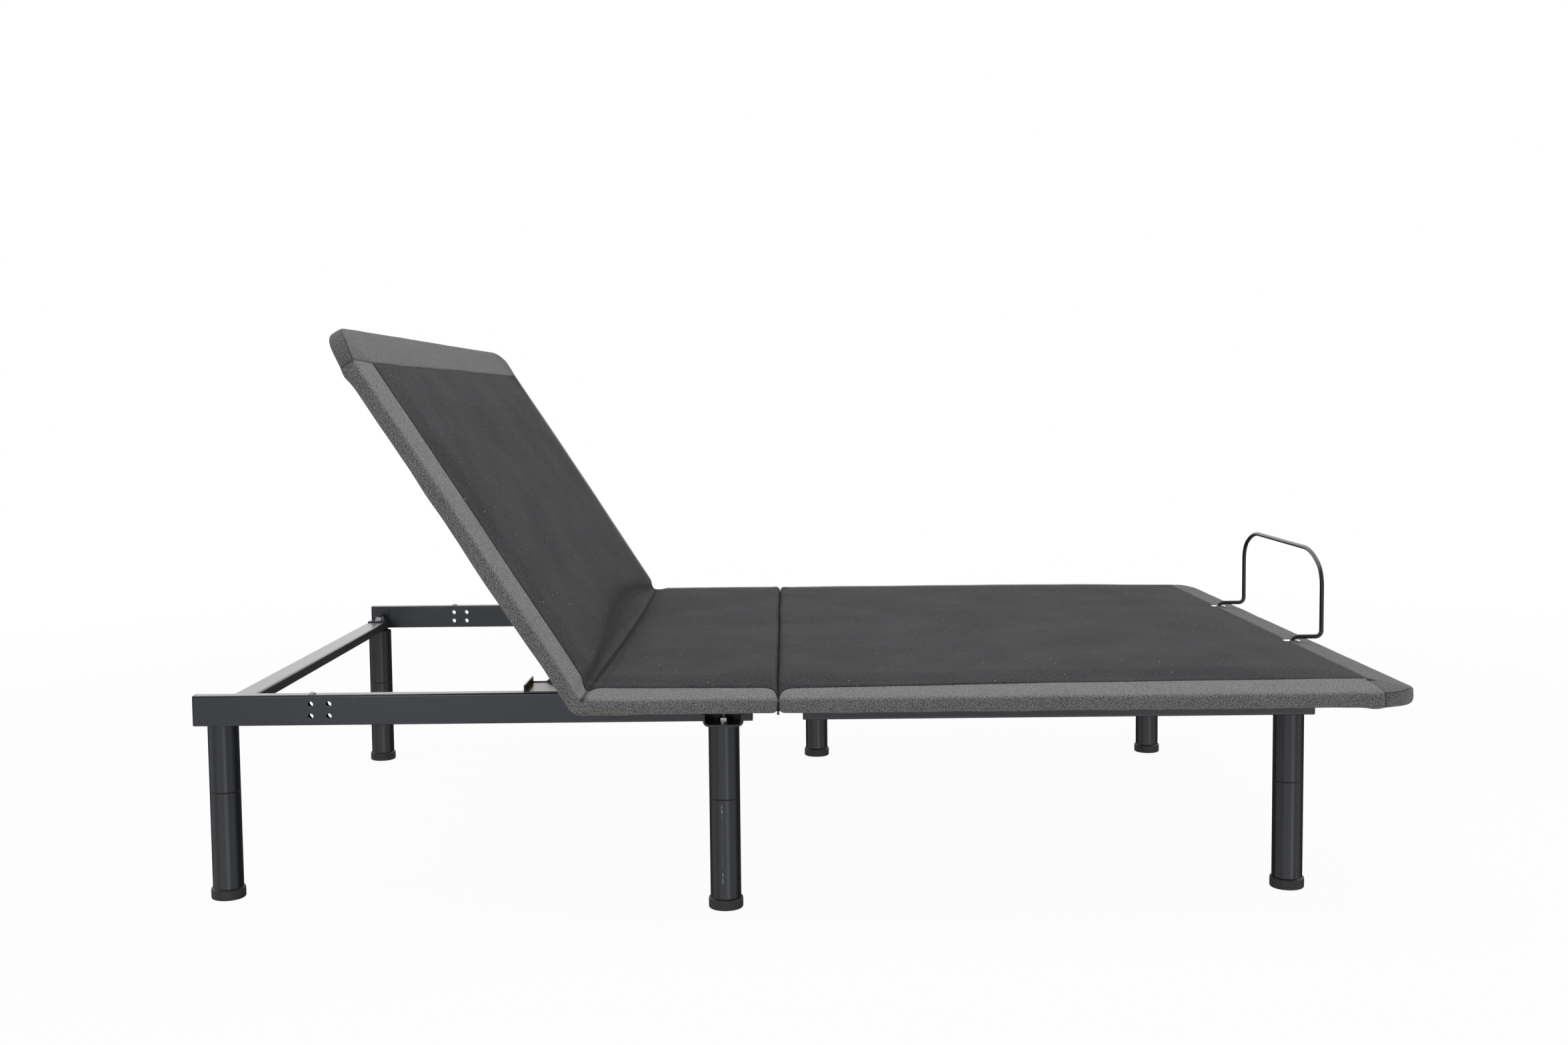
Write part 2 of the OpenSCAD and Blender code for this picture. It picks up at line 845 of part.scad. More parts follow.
// Border cloth: round the edge, over the band and turned under the battens, between its inner ends
module border_form(x0, x1, banded, inner, in_a, in_b) {
    difference() {
        deck_form(x0, x1, 0, 0, edge_low, banded);
        deck_form(inner[0], inner[1], cover_t, band_t, edge_low + band_t, banded);
        pad_form(x0 - (x1 > x0 ? eps : -eps), x1 + (banded ? 0 : (x1 > x0 ? eps : -eps)), banded);
        span([in_a, -(half_w - cover_t - side_batten_w), edge_low - eps],
            [in_b, half_w - cover_t - side_batten_w, board_z]);
    }
}

// The padded centre's cloth, turned down the end beside the middle gap
module gap_flap(a, b, low) {
    span([a, -(half_w - band_w), low], [b, half_w - band_w, board_top + eps]);
}

module foot_board() {
    difference() {
        board_form(foot_start + cover_t, foot_end, true);
        socket_holes();
    }
}

module foot_battens() {
    color("burlywood") {
        side_battens(foot_start + cover_t, foot_end, true);
        end_batten(foot_start + cover_t, foot_end, true, foot_start, foot_start + end_batten_w);
        end_batten(foot_start + cover_t, foot_end, true, foot_end - cover_t - end_batten_w, foot_end);
    }
}

module foot_pad() {
    color("dimgray")
        difference() {
            intersection() {
                deck_form(foot_start, foot_end, 0, 0, edge_low, true);
                union() {
                    pad_form(foot_start, foot_end, true);
                    gap_flap(foot_start, foot_start + cover_t, edge_low + band_t);
                }
            }
            socket_holes();
        }
}

module foot_border() {
    color("gray")
        difference() {
            border_form(foot_start, foot_end, true, [foot_start + cover_t, foot_end],
                foot_start + cover_t, foot_end - cover_t - end_batten_w);
            gap_flap(foot_start - eps, foot_start + cover_t + eps, edge_low - eps);
            socket_holes();
        }
}

module seat_board() {
    board_form(fold_x + fold_back, seat_end - cover_t, false);
}

module seat_battens() {
    color("burlywood") {
        side_battens(fold_x + fold_back, seat_end - cover_t, false);
        end_batten(fold_x + fold_back, seat_end - cover_t, false, seat_end - end_batten_w, seat_end);
    }
}

module seat_pad() {
    color("dimgray")
        intersection() {
            deck_form(fold_x + pad_back, seat_end, 0, 0, edge_low, false);
            union() {
                pad_form(fold_x + pad_back, seat_end, false);
                gap_flap(seat_end - cover_t, seat_end, edge_low + band_t);
            }
        }
}

module seat_border() {
    color("gray")
        difference() {
            border_form(fold_x + border_back, seat_end, false, [fold_x, seat_end - cover_t],
                fold_x, seat_end - cover_t);
            gap_flap(seat_end - cover_t - eps, seat_end + eps, edge_low - eps);
        }
}

module head_board() {
    raised()
        board_form(fold_x - fold_back, head_end, true);
}

module head_battens() {
    color("burlywood")
        raised() {
            side_battens(fold_x - fold_back, head_end, true);
            end_batten(fold_x - fold_back, head_end, true, head_end, head_end + cover_t + end_batten_w);
        }
}

module head_pad() {
    color("dimgray")
        raised()
            intersection() {
                deck_form(fold_x - pad_back, head_end, 0, 0, edge_low, true);
                pad_form(fold_x - pad_back, head_end, true);
            }
}

module head_border() {
    color("gray")
        raised()
            border_form(fold_x - border_back, head_end, true, [fold_x, head_end],
                head_end + cover_t + end_batten_w, fold_x);
}

// A shallow channel under the head board that comes down on the bumpers
module head_stiffener() {
    color("dimgray")
        raised()
            across(-head_rail_y, head_rail_y)
                translate([stiffener_x - stiffener_w / 2, board_z - stiffener_h])
                    difference() {
                        square([stiffener_w, stiffener_h]);
                        translate([channel_t, channel_t])
                            square([stiffener_w - 2 * channel_t, stiffener_h]);
                    }
}

// Fold hinges

// One leaf with its knuckles; the knuckles lie in the listed sixths of its width
module leaf(dir, sixths) {
    step = hinge_w / 6;
    side_gap = 0.3;
    difference() {
        union() {
            for (y = hinge_y) {
                span([min(dir * fold_leaf, dir * leaf_len), y - hinge_w / 2, 1],
                    [max(dir * fold_leaf, dir * leaf_len), y + hinge_w / 2, 1 + leaf_t]);
                for (s = sixths)
                    translate([0, y - hinge_w / 2 + s[0] * step, 0]) {
                        shaft(0, 0, side_gap, s[1] * step - side_gap, knuckle_r);
                        span([min(0, dir * fold_leaf), side_gap, 1],
                            [max(0, dir * fold_leaf), s[1] * step - side_gap, 1 + leaf_t]);
                    }
            }
        }
        shaft(0, 0, -half_w, half_w, hinge_pin_r + run_gap);
    }
}

module hinge_seat_leaves() {
    color("silver")
        translate([fold_x, 0, fold_z])
            leaf(1, [[0, 2], [4, 2]]);
}

module hinge_head_leaves() {
    color("silver")
        translate([fold_x, 0, fold_z])
            rotate([0, head_angle, 0])
                leaf(-1, [[2, 2]]);
}

module hinge_pins() {
    color("silver")
        for (y = hinge_y)
            shaft(fold_x, fold_z, y - hinge_w / 2, y + hinge_w / 2, hinge_pin_r);
}

// Lift

// Plates that hang from the rest channels and carry the torque tube, and the ties on the rails
module pivot_plates() {
    top = board_z - leaf_t;
    tie_t = 3;
    tie_y = head_rail_y - rail_w / 2;
    lug = torque_r + 10;
    slope_in = 24;
    color("dimgray")
        both_sides() {
            difference() {
                across(plate_y - plate_t, plate_y)
                    polygon([[rest_x, rail_top - 14], [rest_x, rail_top + 4],
                        [rest_x + slope_in, rail_top + 4], [rest_x + slope_in + 9, top],
                        [lift_x + lug, top], [lift_x + lug + 4, lift_z],
                        [lift_x + torque_r, lift_z - lug], [lift_x - torque_r, lift_z - lug]]);
                shaft(lift_x, lift_z, plate_y - plate_t - eps, plate_y + eps, torque_r + run_gap);
            }
            across(tie_y, tie_y + tie_t)
                polygon([[rest_x + channel_w, rail_top], [seat_channel_x[0], rail_top],
                    [seat_channel_x[0], top], [rest_x + channel_w + 10, top]]);
        }
}

module torque_tube() {
    end = plate_y + 10;
    lip_gap = 0.4;
    color("dimgray")
        difference() {
            union() {
                shaft(lift_x, lift_z, -end, end, torque_r);
                both_sides()
                    shaft(lift_x, lift_z, plate_y + lip_gap, end, torque_r + 4);
            }
            shaft(lift_x, lift_z, -end - eps, end + eps, torque_r - tube_wall);
        }
}

// A flat arm from a hub on the torque tube to a hub at its tip, drawn level and headwards
module arm_plate(length, hub, tip, y0, y1, hole) {
    difference() {
        union() {
            shaft(0, 0, y0, y1, hub);
            shaft(-length, 0, y0, y1, tip);
            across(y0, y1)
                polygon([[0, -hub * 0.8], [-length, -tip * 0.8], [-length, tip * 0.8], [0, hub * 0.8]]);
        }
        shaft(0, 0, y0 - eps, y1 + eps, torque_r + run_gap);
        if (hole > 0)
            shaft(-length, 0, y0 - eps, y1 + eps, hole);
    }
}

// Both lift arms, each with the fixed axle of its roller
module lift_arms() {
    axle_len = roller_w + 4;
    color("dimgray")
        on_lift(arm_angle)
            both_sides() {
                arm_plate(arm_len, torque_r + 7, 13, arm_y - arm_t / 2, axle_y, 0);
                shaft(-arm_len, 0, axle_y - eps, axle_y + axle_len, axle_r);
                shaft(-arm_len, 0, axle_y + roller_w + 1, axle_y + axle_len, axle_r + 4);
            }
}

// A grooved plastic roller, from the near side's axle
module roller(side) {
    edge = 2;
    start = axle_y + 0.5;
    color("whitesmoke")
        on_lift(arm_angle)
            translate([-arm_len, side * start, 0])
                rotate([side > 0 ? -90 : 90, 0, 0])
                    rotate_extrude()
                        polygon([[axle_r + run_gap, 0], [roller_r - edge, 0], [roller_r, edge],
                            [roller_r, roller_w - edge], [roller_r - edge, roller_w], [axle_r + run_gap, roller_w]]);
}

// The two plates of the lever that the actuator pushes
module lever_plates() {
    y0 = eye_w / 2 + 0.3;
    color("dimgray")
        on_lift(-90 - lever_angle)
            both_sides()
                arm_plate(lever_len, torque_r + 7, eye_r, y0, y0 + lever_t, pin_r + run_gap);
}

module lever_pin() {
    reach = eye_w / 2 + lever_t + 3;
    color("silver")
        shaft(pin_x, pin_z, -reach, reach, pin_r);
}

// The rod and its eye
module actuator_rod() {
    color("silver")
        difference() {
            union() {
                shaft(pin_x, pin_z, -eye_w / 2, eye_w / 2, eye_r);
                translate([pin_x, 0, pin_z])
                    rotate([0, 90, 0])
                        cylinder(h = rod_len, r = rod_r);
            }
            shaft(pin_x, pin_z, -eye_w, eye_w, pin_r + run_gap);
        }
}

// The outer tube, its front collar, the gear housing and the rear eye, cast as one shell
module actuator_housing() {
    rear_len = rear_pin_x - gearbox_x - gearbox_len;
    color("darkslategray")
        difference() {
            union() {
                translate([actuator_front, 0, actuator_z])
                    rotate([0, 90, 0]) {
                        cylinder(h = gearbox_x - actuator_front + eps, r = outer_tube_r);
                        cylinder(h = 12, r = outer_tube_r + 3);
                    }
                across(-gearbox_w / 2, gearbox_w / 2)
                    translate([gearbox_x, actuator_z - gearbox_h / 2])
                        rounded(gearbox_len, gearbox_h, 8);
                translate([gearbox_x + gearbox_len - eps, 0, actuator_z])
                    rotate([0, 90, 0])
                        cylinder(h = rear_len + eps, r = eye_w / 2);
                shaft(rear_pin_x, actuator_z, -eye_w / 2, eye_w / 2, eye_r);
            }
            translate([actuator_front - eps, 0, actuator_z])
                rotate([0, 90, 0])
                    cylinder(h = rod_len + eps, r = outer_bore_r);
            shaft(rear_pin_x, actuator_z, -eye_w, eye_w, pin_r + run_gap);
        }
}

// The motor, across the bed beside the gear housing
module actuator_motor() {
    cap_len = 14;
    x = gearbox_x + gearbox_len / 2;
    y = gearbox_w / 2;
    color("dimgray") {
        shaft(x, actuator_z, y, y + motor_len - cap_len, motor_r);
        shaft(x, actuator_z, y + motor_len - cap_len, y + motor_len, motor_r - 4);
    }
}

// A clevis under the cross tube with the actuator's rear pin
module motor_bracket() {
    y0 = eye_w / 2 + 0.3;
    low = actuator_z - eye_r - 2;
    color("silver") {
        both_sides()
            across(y0, y0 + lever_t)
                polygon([[rear_pin_x - 18, leg_h], [rear_pin_x + 18, leg_h],
                    [rear_pin_x + 12, low], [rear_pin_x - 12, low]]);
        shaft(rear_pin_x, actuator_z, -y0 - eps, y0 + eps, pin_r);
    }
}

// The control box under the seat board, with its power inlet
module control_box() {
    len = 96;
    w = 170;
    h = 42;
    x0 = (seat_channel_x[0] + channel_w + seat_channel_x[1] - len) / 2;
    y0 = -300;
    wall = 3;
    inlet = [30, 2 * wall, 20];
    color("black")
        difference() {
            translate([x0, y0, board_z - h])
                linear_extrude(h)
                    rounded(len, w, 8);
            translate([x0 + len / 2, y0, board_z - h / 2])
                cube(inlet, center = true);
        }
}

// Mattress bar

// A bend of the bar in its own plane, centred on the origin, from angle a0 by angle sweep
module bend(r, a0, sweep) {
    rotate([0, 0, a0])
        rotate_extrude(angle = sweep)
            translate([r, 0])
                circle(bar_r);
}

// A straight length of the bar along the z axis
module straight(length) {
    cylinder(h = length, r = bar_r);
}

// The fine bead where two lengths of the bar are welded end to end
module bead() {
    cylinder(h = 1, r = bar_r + 0.08, center = true);
}

// Half of the bar, drawn on the far side
module half_bar() {
    y = bar_w / 2;
    low_z = bar_level_z - bar_bend_r;
    high_z = bar_level_z + bar_bend_r;
    level_x = bar_foot_x + bar_bend_r;
    up_x = bar_up_x - bar_bend_r;
    translate([bar_foot_x, y, bar_bottom_z])
        straight(low_z - bar_bottom_z);
    translate([level_x, y, low_z])
        rotate([90, 0, 0])
            bend(bar_bend_r, 90, 90);
    translate([level_x, y, bar_level_z])
        rotate([0, 90, 0])
            straight(up_x - level_x);
    translate([up_x, y, high_z])
        rotate([90, 0, 0])
            bend(bar_bend_r, -90, 90);
    translate([bar_up_x, y, high_z])
        straight(shoulder_z - high_z);
    translate([bar_up_x, y - shoulder_r, shoulder_z])
        rotate([90, 0, 90])
            bend(shoulder_r, 0, shoulder_turn);
    translate([bar_up_x, wide_y, bar_top_z - top_bend_r])
        rotate([90, 0, 90])
            bend(top_bend_r, shoulder_turn, 90 - shoulder_turn);
    for (z = [[bar_foot_x, low_z], [bar_up_x, high_z], [bar_up_x, shoulder_z]])
        translate([z[0], y, z[1]])
            bead();
    for (x = [level_x, up_x])
        translate([x, y, bar_level_z])
            rotate([0, 90, 0])
                bead();
    translate([bar_up_x, meet_y, meet_z])
        rotate([shoulder_turn, 0, 0])
            bead();
    translate([bar_up_x, wide_y, bar_top_z])
        rotate([90, 0, 0])
            bead();
}

module mattress_bar() {
    color("black") {
        both_sides()
            half_bar();
        translate([bar_up_x, wide_y, bar_top_z])
            rotate([90, 0, 0])
                straight(2 * wide_y);
    }
}

// Clearance for the two sockets and their plates through the deck
module socket_holes() {
    for (y = [-bar_w / 2, bar_w / 2])
        translate([bar_foot_x, y, 0]) {
            translate([0, 0, edge_low - eps])
                cylinder(h = crown_z, r = socket_r + socket_gap);
            translate([-socket_plate_len / 2 - socket_gap, -socket_plate_w / 2 - socket_gap, seam_z])
                linear_extrude(crown_rise + eps)
                    rounded(socket_plate_len + 2 * socket_gap, socket_plate_w + 2 * socket_gap, 6);
        }
}

// Each socket: a closed tube under a slotted plate that lets the bar's bend out
module bar_sockets() {
    floor_t = 2;
    top = seam_z + socket_gap + socket_plate_t;
    low = seam_z - socket_depth;
    color("silver")
        for (y = [-bar_w / 2, bar_w / 2])
            translate([bar_foot_x, y, 0])
                difference() {
                    union() {
                        translate([0, 0, low - floor_t])
                            cylinder(h = top - low + floor_t, r = socket_r);
                        translate([-socket_plate_len / 2, -socket_plate_w / 2, top - socket_plate_t])
                            linear_extrude(socket_plate_t)
                                rounded(socket_plate_len, socket_plate_w, 6);
                    }
                    translate([0, 0, low])
                        cylinder(h = top - low + eps, r = bar_r + bar_fit);
                    translate([0, -bar_r - bar_fit, bar_level_z - bar_bend_r - eps])
                        cube([bar_bend_r, 2 * (bar_r + bar_fit), bar_bend_r]);
                }
}

mirror([0, 1, 0]) head_rail(head_in_y);  // head_rail_near
head_rail(head_rail_y - tube_wall);  // head_rail_far
mirror([0, 1, 0]) foot_rail();  // foot_rail_near
foot_rail();  // foot_rail_far
head_cross_tube();
foot_cross_tube();
motor_cross_tube();
rail_caps();
corner_plates();
leg_brackets();
splice_bars();
splice_bolts();
rest_channels();
deck_channels();
rail_bumpers();
for (i = [0:5]) {
    leg_tube(i);
    leg_end(i);
}
foot_caps();
leg_nuts();
foot_board();
foot_battens();
foot_pad();
foot_border();
seat_board();
seat_battens();
seat_pad();
seat_border();
head_board();
head_battens();
head_pad();
head_border();
head_stiffener();
hinge_seat_leaves();
hinge_head_leaves();
hinge_pins();
pivot_plates();
torque_tube();
lift_arms();
roller(-1);  // roller_near
roller(1);  // roller_far
lever_plates();
lever_pin();
actuator_rod();
actuator_housing();
actuator_motor();
motor_bracket();
control_box();
mattress_bar();
bar_sockets();
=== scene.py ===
import bpy
import bmesh
import json
from math import sin, cos, pi, radians, sqrt, exp, hypot
from mathutils import Vector, Matrix, noise


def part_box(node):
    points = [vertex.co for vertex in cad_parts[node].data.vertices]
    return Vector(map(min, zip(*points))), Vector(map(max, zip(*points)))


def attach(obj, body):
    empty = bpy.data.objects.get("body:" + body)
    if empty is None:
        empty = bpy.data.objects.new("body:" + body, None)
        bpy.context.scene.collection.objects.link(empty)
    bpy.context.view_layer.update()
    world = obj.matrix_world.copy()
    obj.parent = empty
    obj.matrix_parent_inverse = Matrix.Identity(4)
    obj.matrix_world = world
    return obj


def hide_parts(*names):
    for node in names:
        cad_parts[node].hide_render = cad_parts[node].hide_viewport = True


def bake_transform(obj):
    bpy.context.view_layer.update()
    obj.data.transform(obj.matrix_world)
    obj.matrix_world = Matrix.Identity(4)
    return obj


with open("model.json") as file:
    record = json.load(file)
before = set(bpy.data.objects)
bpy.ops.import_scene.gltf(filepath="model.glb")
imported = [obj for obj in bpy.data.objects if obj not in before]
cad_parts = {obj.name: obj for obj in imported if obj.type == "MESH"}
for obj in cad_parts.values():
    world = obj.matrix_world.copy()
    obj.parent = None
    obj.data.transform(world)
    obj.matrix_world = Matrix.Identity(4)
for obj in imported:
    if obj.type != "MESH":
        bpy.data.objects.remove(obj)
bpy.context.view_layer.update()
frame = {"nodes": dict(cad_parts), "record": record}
nodes = frame["nodes"]
record = frame["record"]
print("frame loaded:", len(nodes), "pieces")


def sRgb(red, green, blue):
    shares = [part / 255 for part in (red, green, blue)]
    return (*[s / 12.92 if s <= 0.04045 else ((s + 0.055) / 1.055) ** 2.4 for s in shares], 1)


def clamp(value, low=0.0, high=1.0):
    return max(low, min(high, value))


def ease(value):
    t = clamp(value)
    return t * t * (3 - 2 * t)


def bell(distance, width):  # 1 at no distance, falling to 0
    return exp(-(distance / width) ** 2)


def paced(value, stops):  # straight lines through (value, result) pairs
    for (a, resultA), (b, resultB) in zip(stops, stops[1:]):
        if value <= b:
            return resultA + (resultB - resultA) * clamp((value - a) / (b - a))
    return stops[-1][1]


def ripple(x, y, z=0.0):  # smooth noise between -1 and 1
    return noise.noise(Vector((x, y, z)))


# camera

view = {
    "place": (-0.0094, -3.3761, 0.8329),
    "yaw": -0.0006,
    "pitch": -0.0721,
    "roll": -0.0103,
    "lens": 38.76,
    "sensor": 36,
    "reach": 60,
}


def aimCamera():
    ahead = Vector((sin(view["yaw"]), cos(view["yaw"]), 0))
    side = Vector((cos(view["yaw"]), -sin(view["yaw"]), 0))
    up = Vector((0, 0, 1))
    look = ahead * cos(view["pitch"]) + up * sin(view["pitch"])
    over = up * cos(view["pitch"]) - ahead * sin(view["pitch"])
    right = side * cos(view["roll"]) + over * sin(view["roll"])
    top = over * cos(view["roll"]) - side * sin(view["roll"])
    data = bpy.data.cameras.new("camera")
    data.lens = view["lens"]
    data.sensor_width = view["sensor"]
    data.clip_end = view["reach"]
    camera = bpy.data.objects.new("camera", data)
    bpy.context.collection.objects.link(camera)
    turn = Matrix((right, top, -look)).transposed().to_4x4()
    camera.matrix_world = Matrix.Translation(view["place"]) @ turn
    bpy.context.scene.camera = camera


aimCamera()
print("camera set")


# shader maths

class Wire:
    def __init__(self, tree, socket=None):
        self.tree = tree
        self.socket = socket

    def node(self, kind, inputs=None, out=0, stops=None, **settings):
        made = self.tree.nodes.new(kind)
        for name, value in settings.items():
            setattr(made, name, value)
        if stops:
            ramp = made.color_ramp.elements
            while len(ramp) < len(stops):
                ramp.new(1.0)
            for spot, (place, colour) in zip(ramp, stops):
                spot.position = place
                spot.color = colour
        for name, value in (inputs or {}).items():
            if isinstance(value, Wire):
                self.tree.links.new(value.socket, made.inputs[name])
            else:
                made.inputs[name].default_value = value
        return Wire(self.tree, made.outputs[out])

    def maths(self, operation, *values):
        return self.node("ShaderNodeMath", dict(enumerate(values)), operation=operation)

    def __add__(self, other):
        return self.maths("ADD", self, other)

    __radd__ = __add__

    def __mul__(self, other):
        return self.maths("MULTIPLY", self, other)

    __rmul__ = __mul__

    def __sub__(self, other):
        return self.maths("SUBTRACT", self, other)

    def __rsub__(self, other):
        return self.maths("SUBTRACT", other, self)

    def __truediv__(self, other):
        return self.maths("DIVIDE", self, other)

    def __gt__(self, other):
        return self.maths("GREATER_THAN", self, other)

    def __lt__(self, other):
        return self.maths("LESS_THAN", self, other)

    def within(self, low, high):  # 1 between low and high
        return (self > low) * (self < high)

    def nearTo(self, middle, reach):  # 1 closer to the middle than reach
        return self.maths("ABSOLUTE", self - middle) < reach

    def spread(self, low, high):  # 0 at low, 1 at high
        return self.node("ShaderNodeMapRange", {"Value": self, "From Min": low, "From Max": high},
                         interpolation_type="SMOOTHSTEP")

    def mix(self, first, second):  # colours, by this value
        return self.node("ShaderNodeMix", {6: first, 7: second, "Factor": self}, out=2, data_type="RGBA")

    def apart(self, way):  # the three parts of a direction or a spot
        return [self.node("ShaderNodeSeparateXYZ", {"Vector": way}, out=k) for k in range(3)]

    def place(self, kind, stretch, turn=0.0):
        spot = self.node("ShaderNodeTexCoord", out=kind)
        return self.node("ShaderNodeMapping",
                         {"Vector": spot, "Scale": stretch, "Rotation": (0, 0, radians(turn))})

    def objectSpot(self, stretch=(1, 1, 1)):
        return self.place(3, stretch)

    def clothSpot(self, stretch=(1, 1, 1), turn=0.0):  # on the flat cloth, turned by degrees
        return self.place(2, stretch, turn)

    def cloud(self, spot, scale, detail=2.0, rough=0.5, twist=0.0):
        return self.node("ShaderNodeTexNoise", {"Vector": spot, "Scale": scale, "Detail": detail,
                                                "Roughness": rough, "Distortion": twist})

    def cells(self, spot, scale, out=0, across="3D"):
        return self.node("ShaderNodeTexVoronoi", {"Vector": spot, "Scale": scale}, out=out,
                         voronoi_dimensions=across)

    def red(self, colour):
        return self.node("ShaderNodeSeparateColor", {"Color": colour})

    def weave(self, scale, turn, twist):
        return self.node("ShaderNodeTexWave", {"Vector": self.clothSpot(turn=turn), "Scale": scale,
                                               "Distortion": twist, "Detail": 1.0}, bands_direction="X")

    def flecks(self, spot, scale, size, rare):  # small spots in the share of cells above rare
        pick = self.red(self.cells(spot, scale, 1, "2D"))
        return (self.cells(spot, scale, 0, "2D") < size) * (pick > rare)

    def mask(self, name):
        return self.node("ShaderNodeAttribute", out=2, attribute_name=name)

    def most(self, *values):
        top = values[0]
        for value in values[1:]:
            top = self.maths("MAXIMUM", top, value)
        return top

    def bump(self, height, strength, depth, under=None):
        parts = {"Height": height, "Strength": strength, "Distance": depth}
        if under:
            parts["Normal"] = under
        return self.node("ShaderNodeBump", parts)


def newFinish(name, settings):
    material = bpy.data.materials.new(name)
    material.use_nodes = True
    tree = material.node_tree
    shader = next(n for n in tree.nodes if n.type == "BSDF_PRINCIPLED")
    for socket, value in settings.items():
        shader.inputs[socket].default_value = value
    return material, Wire(tree), shader


def feed(w, shader, colour, roughness, normal):
    for socket, source in (("Base Color", colour), ("Roughness", roughness), ("Normal", normal)):
        w.tree.links.new(source.socket, shader.inputs[socket])


# finishes

nearLegLow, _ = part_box("leg_tube_middle_near")

powder = {
    "rail": (30, 34, 43),
    # the legs: the rails' powder coat painted darker, as painted shade
    "leg": (20, 24, 32),
    "worn": (68, 73, 80),
    "tint": 3,                   # how far the tone drifts either way
    "patch": 5.0,
    "grain": 900.0,
    "rub": 60.0,
    "rough": 0.30,
    "legGloss": 0.10,            # how much smoother the legs are
    "bump": (0.05, 0.0006),
}
legMarks = {
    "joint": nearLegLow.z,       # height of the line where the leg's two tubes meet
    "jointHalf": 0.0010,
    "jointTone": (3, 3, 4),
    "jointDull": 0.6,
    "jointBump": (1.0, 0.0015),
    "scratch": nearLegLow.x + 0.02135,       # where it stands across the middle legs
    "scratchHalf": 0.0011,
    "scratchTone": (168, 170, 172),
    "upper": (0.163, 0.175),     # heights of its two clear stretches
    "lower": (0.045, 0.062),
    "faint": 0.22,               # and how strong it is between them
    "breaks": 900.0,
}


def legMarkings(w, tone):  # the tone with the joint line and the scratch, and where the line is
    x, _, z = w.apart(w.objectSpot())
    line = z.nearTo(legMarks["joint"], legMarks["jointHalf"])
    broken = w.cloud(w.objectSpot((1, 1, 0.4)), legMarks["breaks"], 2.0, 0.7).spread(0.40, 0.60)
    between = z.within(legMarks["lower"][1], legMarks["upper"][0]) * legMarks["faint"]
    strong = w.most(z.within(*legMarks["upper"]), z.within(*legMarks["lower"]), between)
    scratch = x.nearTo(legMarks["scratch"], legMarks["scratchHalf"]) * broken * strong
    tone = (scratch * 0.7).mix(tone, sRgb(*legMarks["scratchTone"]))
    return (line * 0.95).mix(tone, sRgb(*legMarks["jointTone"])), line


def powderFinish(name, base, rough, marked=False):
    material, w, shader = newFinish(name, {"IOR": 1.5})
    spot = w.objectSpot()
    patch = w.cloud(spot, powder["patch"], 3.0)
    peel = w.cloud(spot, powder["grain"], 2.0)
    rub = w.cloud(w.objectSpot((1, 1, 0.15)), powder["rub"], 4.0, 0.7)
    worn = rub.spread(0.62, 0.75) * patch.spread(0.45, 0.65) * 0.35
    darker, lighter = (sRgb(*[part + drift for part in base]) for drift in (-powder["tint"], powder["tint"]))
    tone = worn.mix(patch.mix(darker, lighter), sRgb(*powder["worn"]))
    dull = rough + (peel - 0.5) * 0.10 + worn * 0.15
    normal = w.bump(peel, *powder["bump"])
    if marked:
        tone, line = legMarkings(w, tone)
        dull = dull + line * legMarks["jointDull"]
        normal = w.bump(line * -1, *legMarks["jointBump"], normal)
    feed(w, shader, tone, dull, normal)
    return material


barLook = {"dark": (30, 30, 32), "light": (40, 40, 42), "patch": 12.0, "peel": 1100.0, "rough": 0.36,
           "mottle": 0.0, "depth": 0.0006}
motorLook = {"dark": (50, 50, 53), "light": (62, 62, 66), "patch": 25.0, "peel": 700.0, "rough": 0.34,
             "mottle": 0.1, "depth": 0.0005}


def paintFinish(name, look):
    material, w, shader = newFinish(name, {"IOR": 1.5})
    spot = w.objectSpot()
    patch = w.cloud(spot, look["patch"], 3.0)
    peel = w.cloud(spot, look["peel"], 2.0)
    dull = look["rough"] + (peel - 0.5) * 0.12 + (patch - 0.5) * look["mottle"]
    feed(w, shader, patch.mix(sRgb(*look["dark"]), sRgb(*look["light"])), dull,
         w.bump(peel, 0.08, look["depth"]))
    return material


zincLook = {"bright": (205, 208, 210), "dull": (150, 154, 158), "rough": 0.30, "drawn": 60.0, "patch": 18.0,
            "spangle": 120.0, "bump": (0.12, 0.0004)}


def zincFinish():
    material, w, shader = newFinish("zincPlate", {"Metallic": 1.0})
    drawn = w.cloud(w.objectSpot((0.6, 14, 14)), zincLook["drawn"], 4.0, 0.6)
    patch = w.cloud(w.objectSpot(), zincLook["patch"], 3.0, 0.6)
    spangle = w.red(w.cells(w.objectSpot(), zincLook["spangle"], out=1))
    tone = (drawn * 0.6 + patch * 0.3 + spangle * 0.1).mix(sRgb(*zincLook["dull"]), sRgb(*zincLook["bright"]))
    feed(w, shader, tone, zincLook["rough"] + (drawn - 0.5) * 0.25 + (patch - 0.5) * 0.15,
         w.bump(drawn, *zincLook["bump"]))
    return material


plasticLook = {"dark": (30, 30, 32), "light": (40, 40, 42), "grain": 1400.0, "patch": 30.0, "rough": 0.52,
               "bump": (0.15, 0.0003)}


def plasticFinish():
    material, w, shader = newFinish("blackPlasticMoulded", {"IOR": 1.46})
    spot = w.objectSpot()
    grain = w.cells(spot, plasticLook["grain"])
    patch = w.cloud(spot, plasticLook["patch"], 3.0)
    feed(w, shader, patch.mix(sRgb(*plasticLook["dark"]), sRgb(*plasticLook["light"])),
         plasticLook["rough"] + (patch - 0.5) * 0.15, w.bump(grain, *plasticLook["bump"]))
    return material


rubberLook = {"dark": (232, 234, 232), "light": (246, 247, 246), "clear": 0.30, "haze": 160.0, "rough": 0.22,
              "bump": (0.05, 0.0003)}


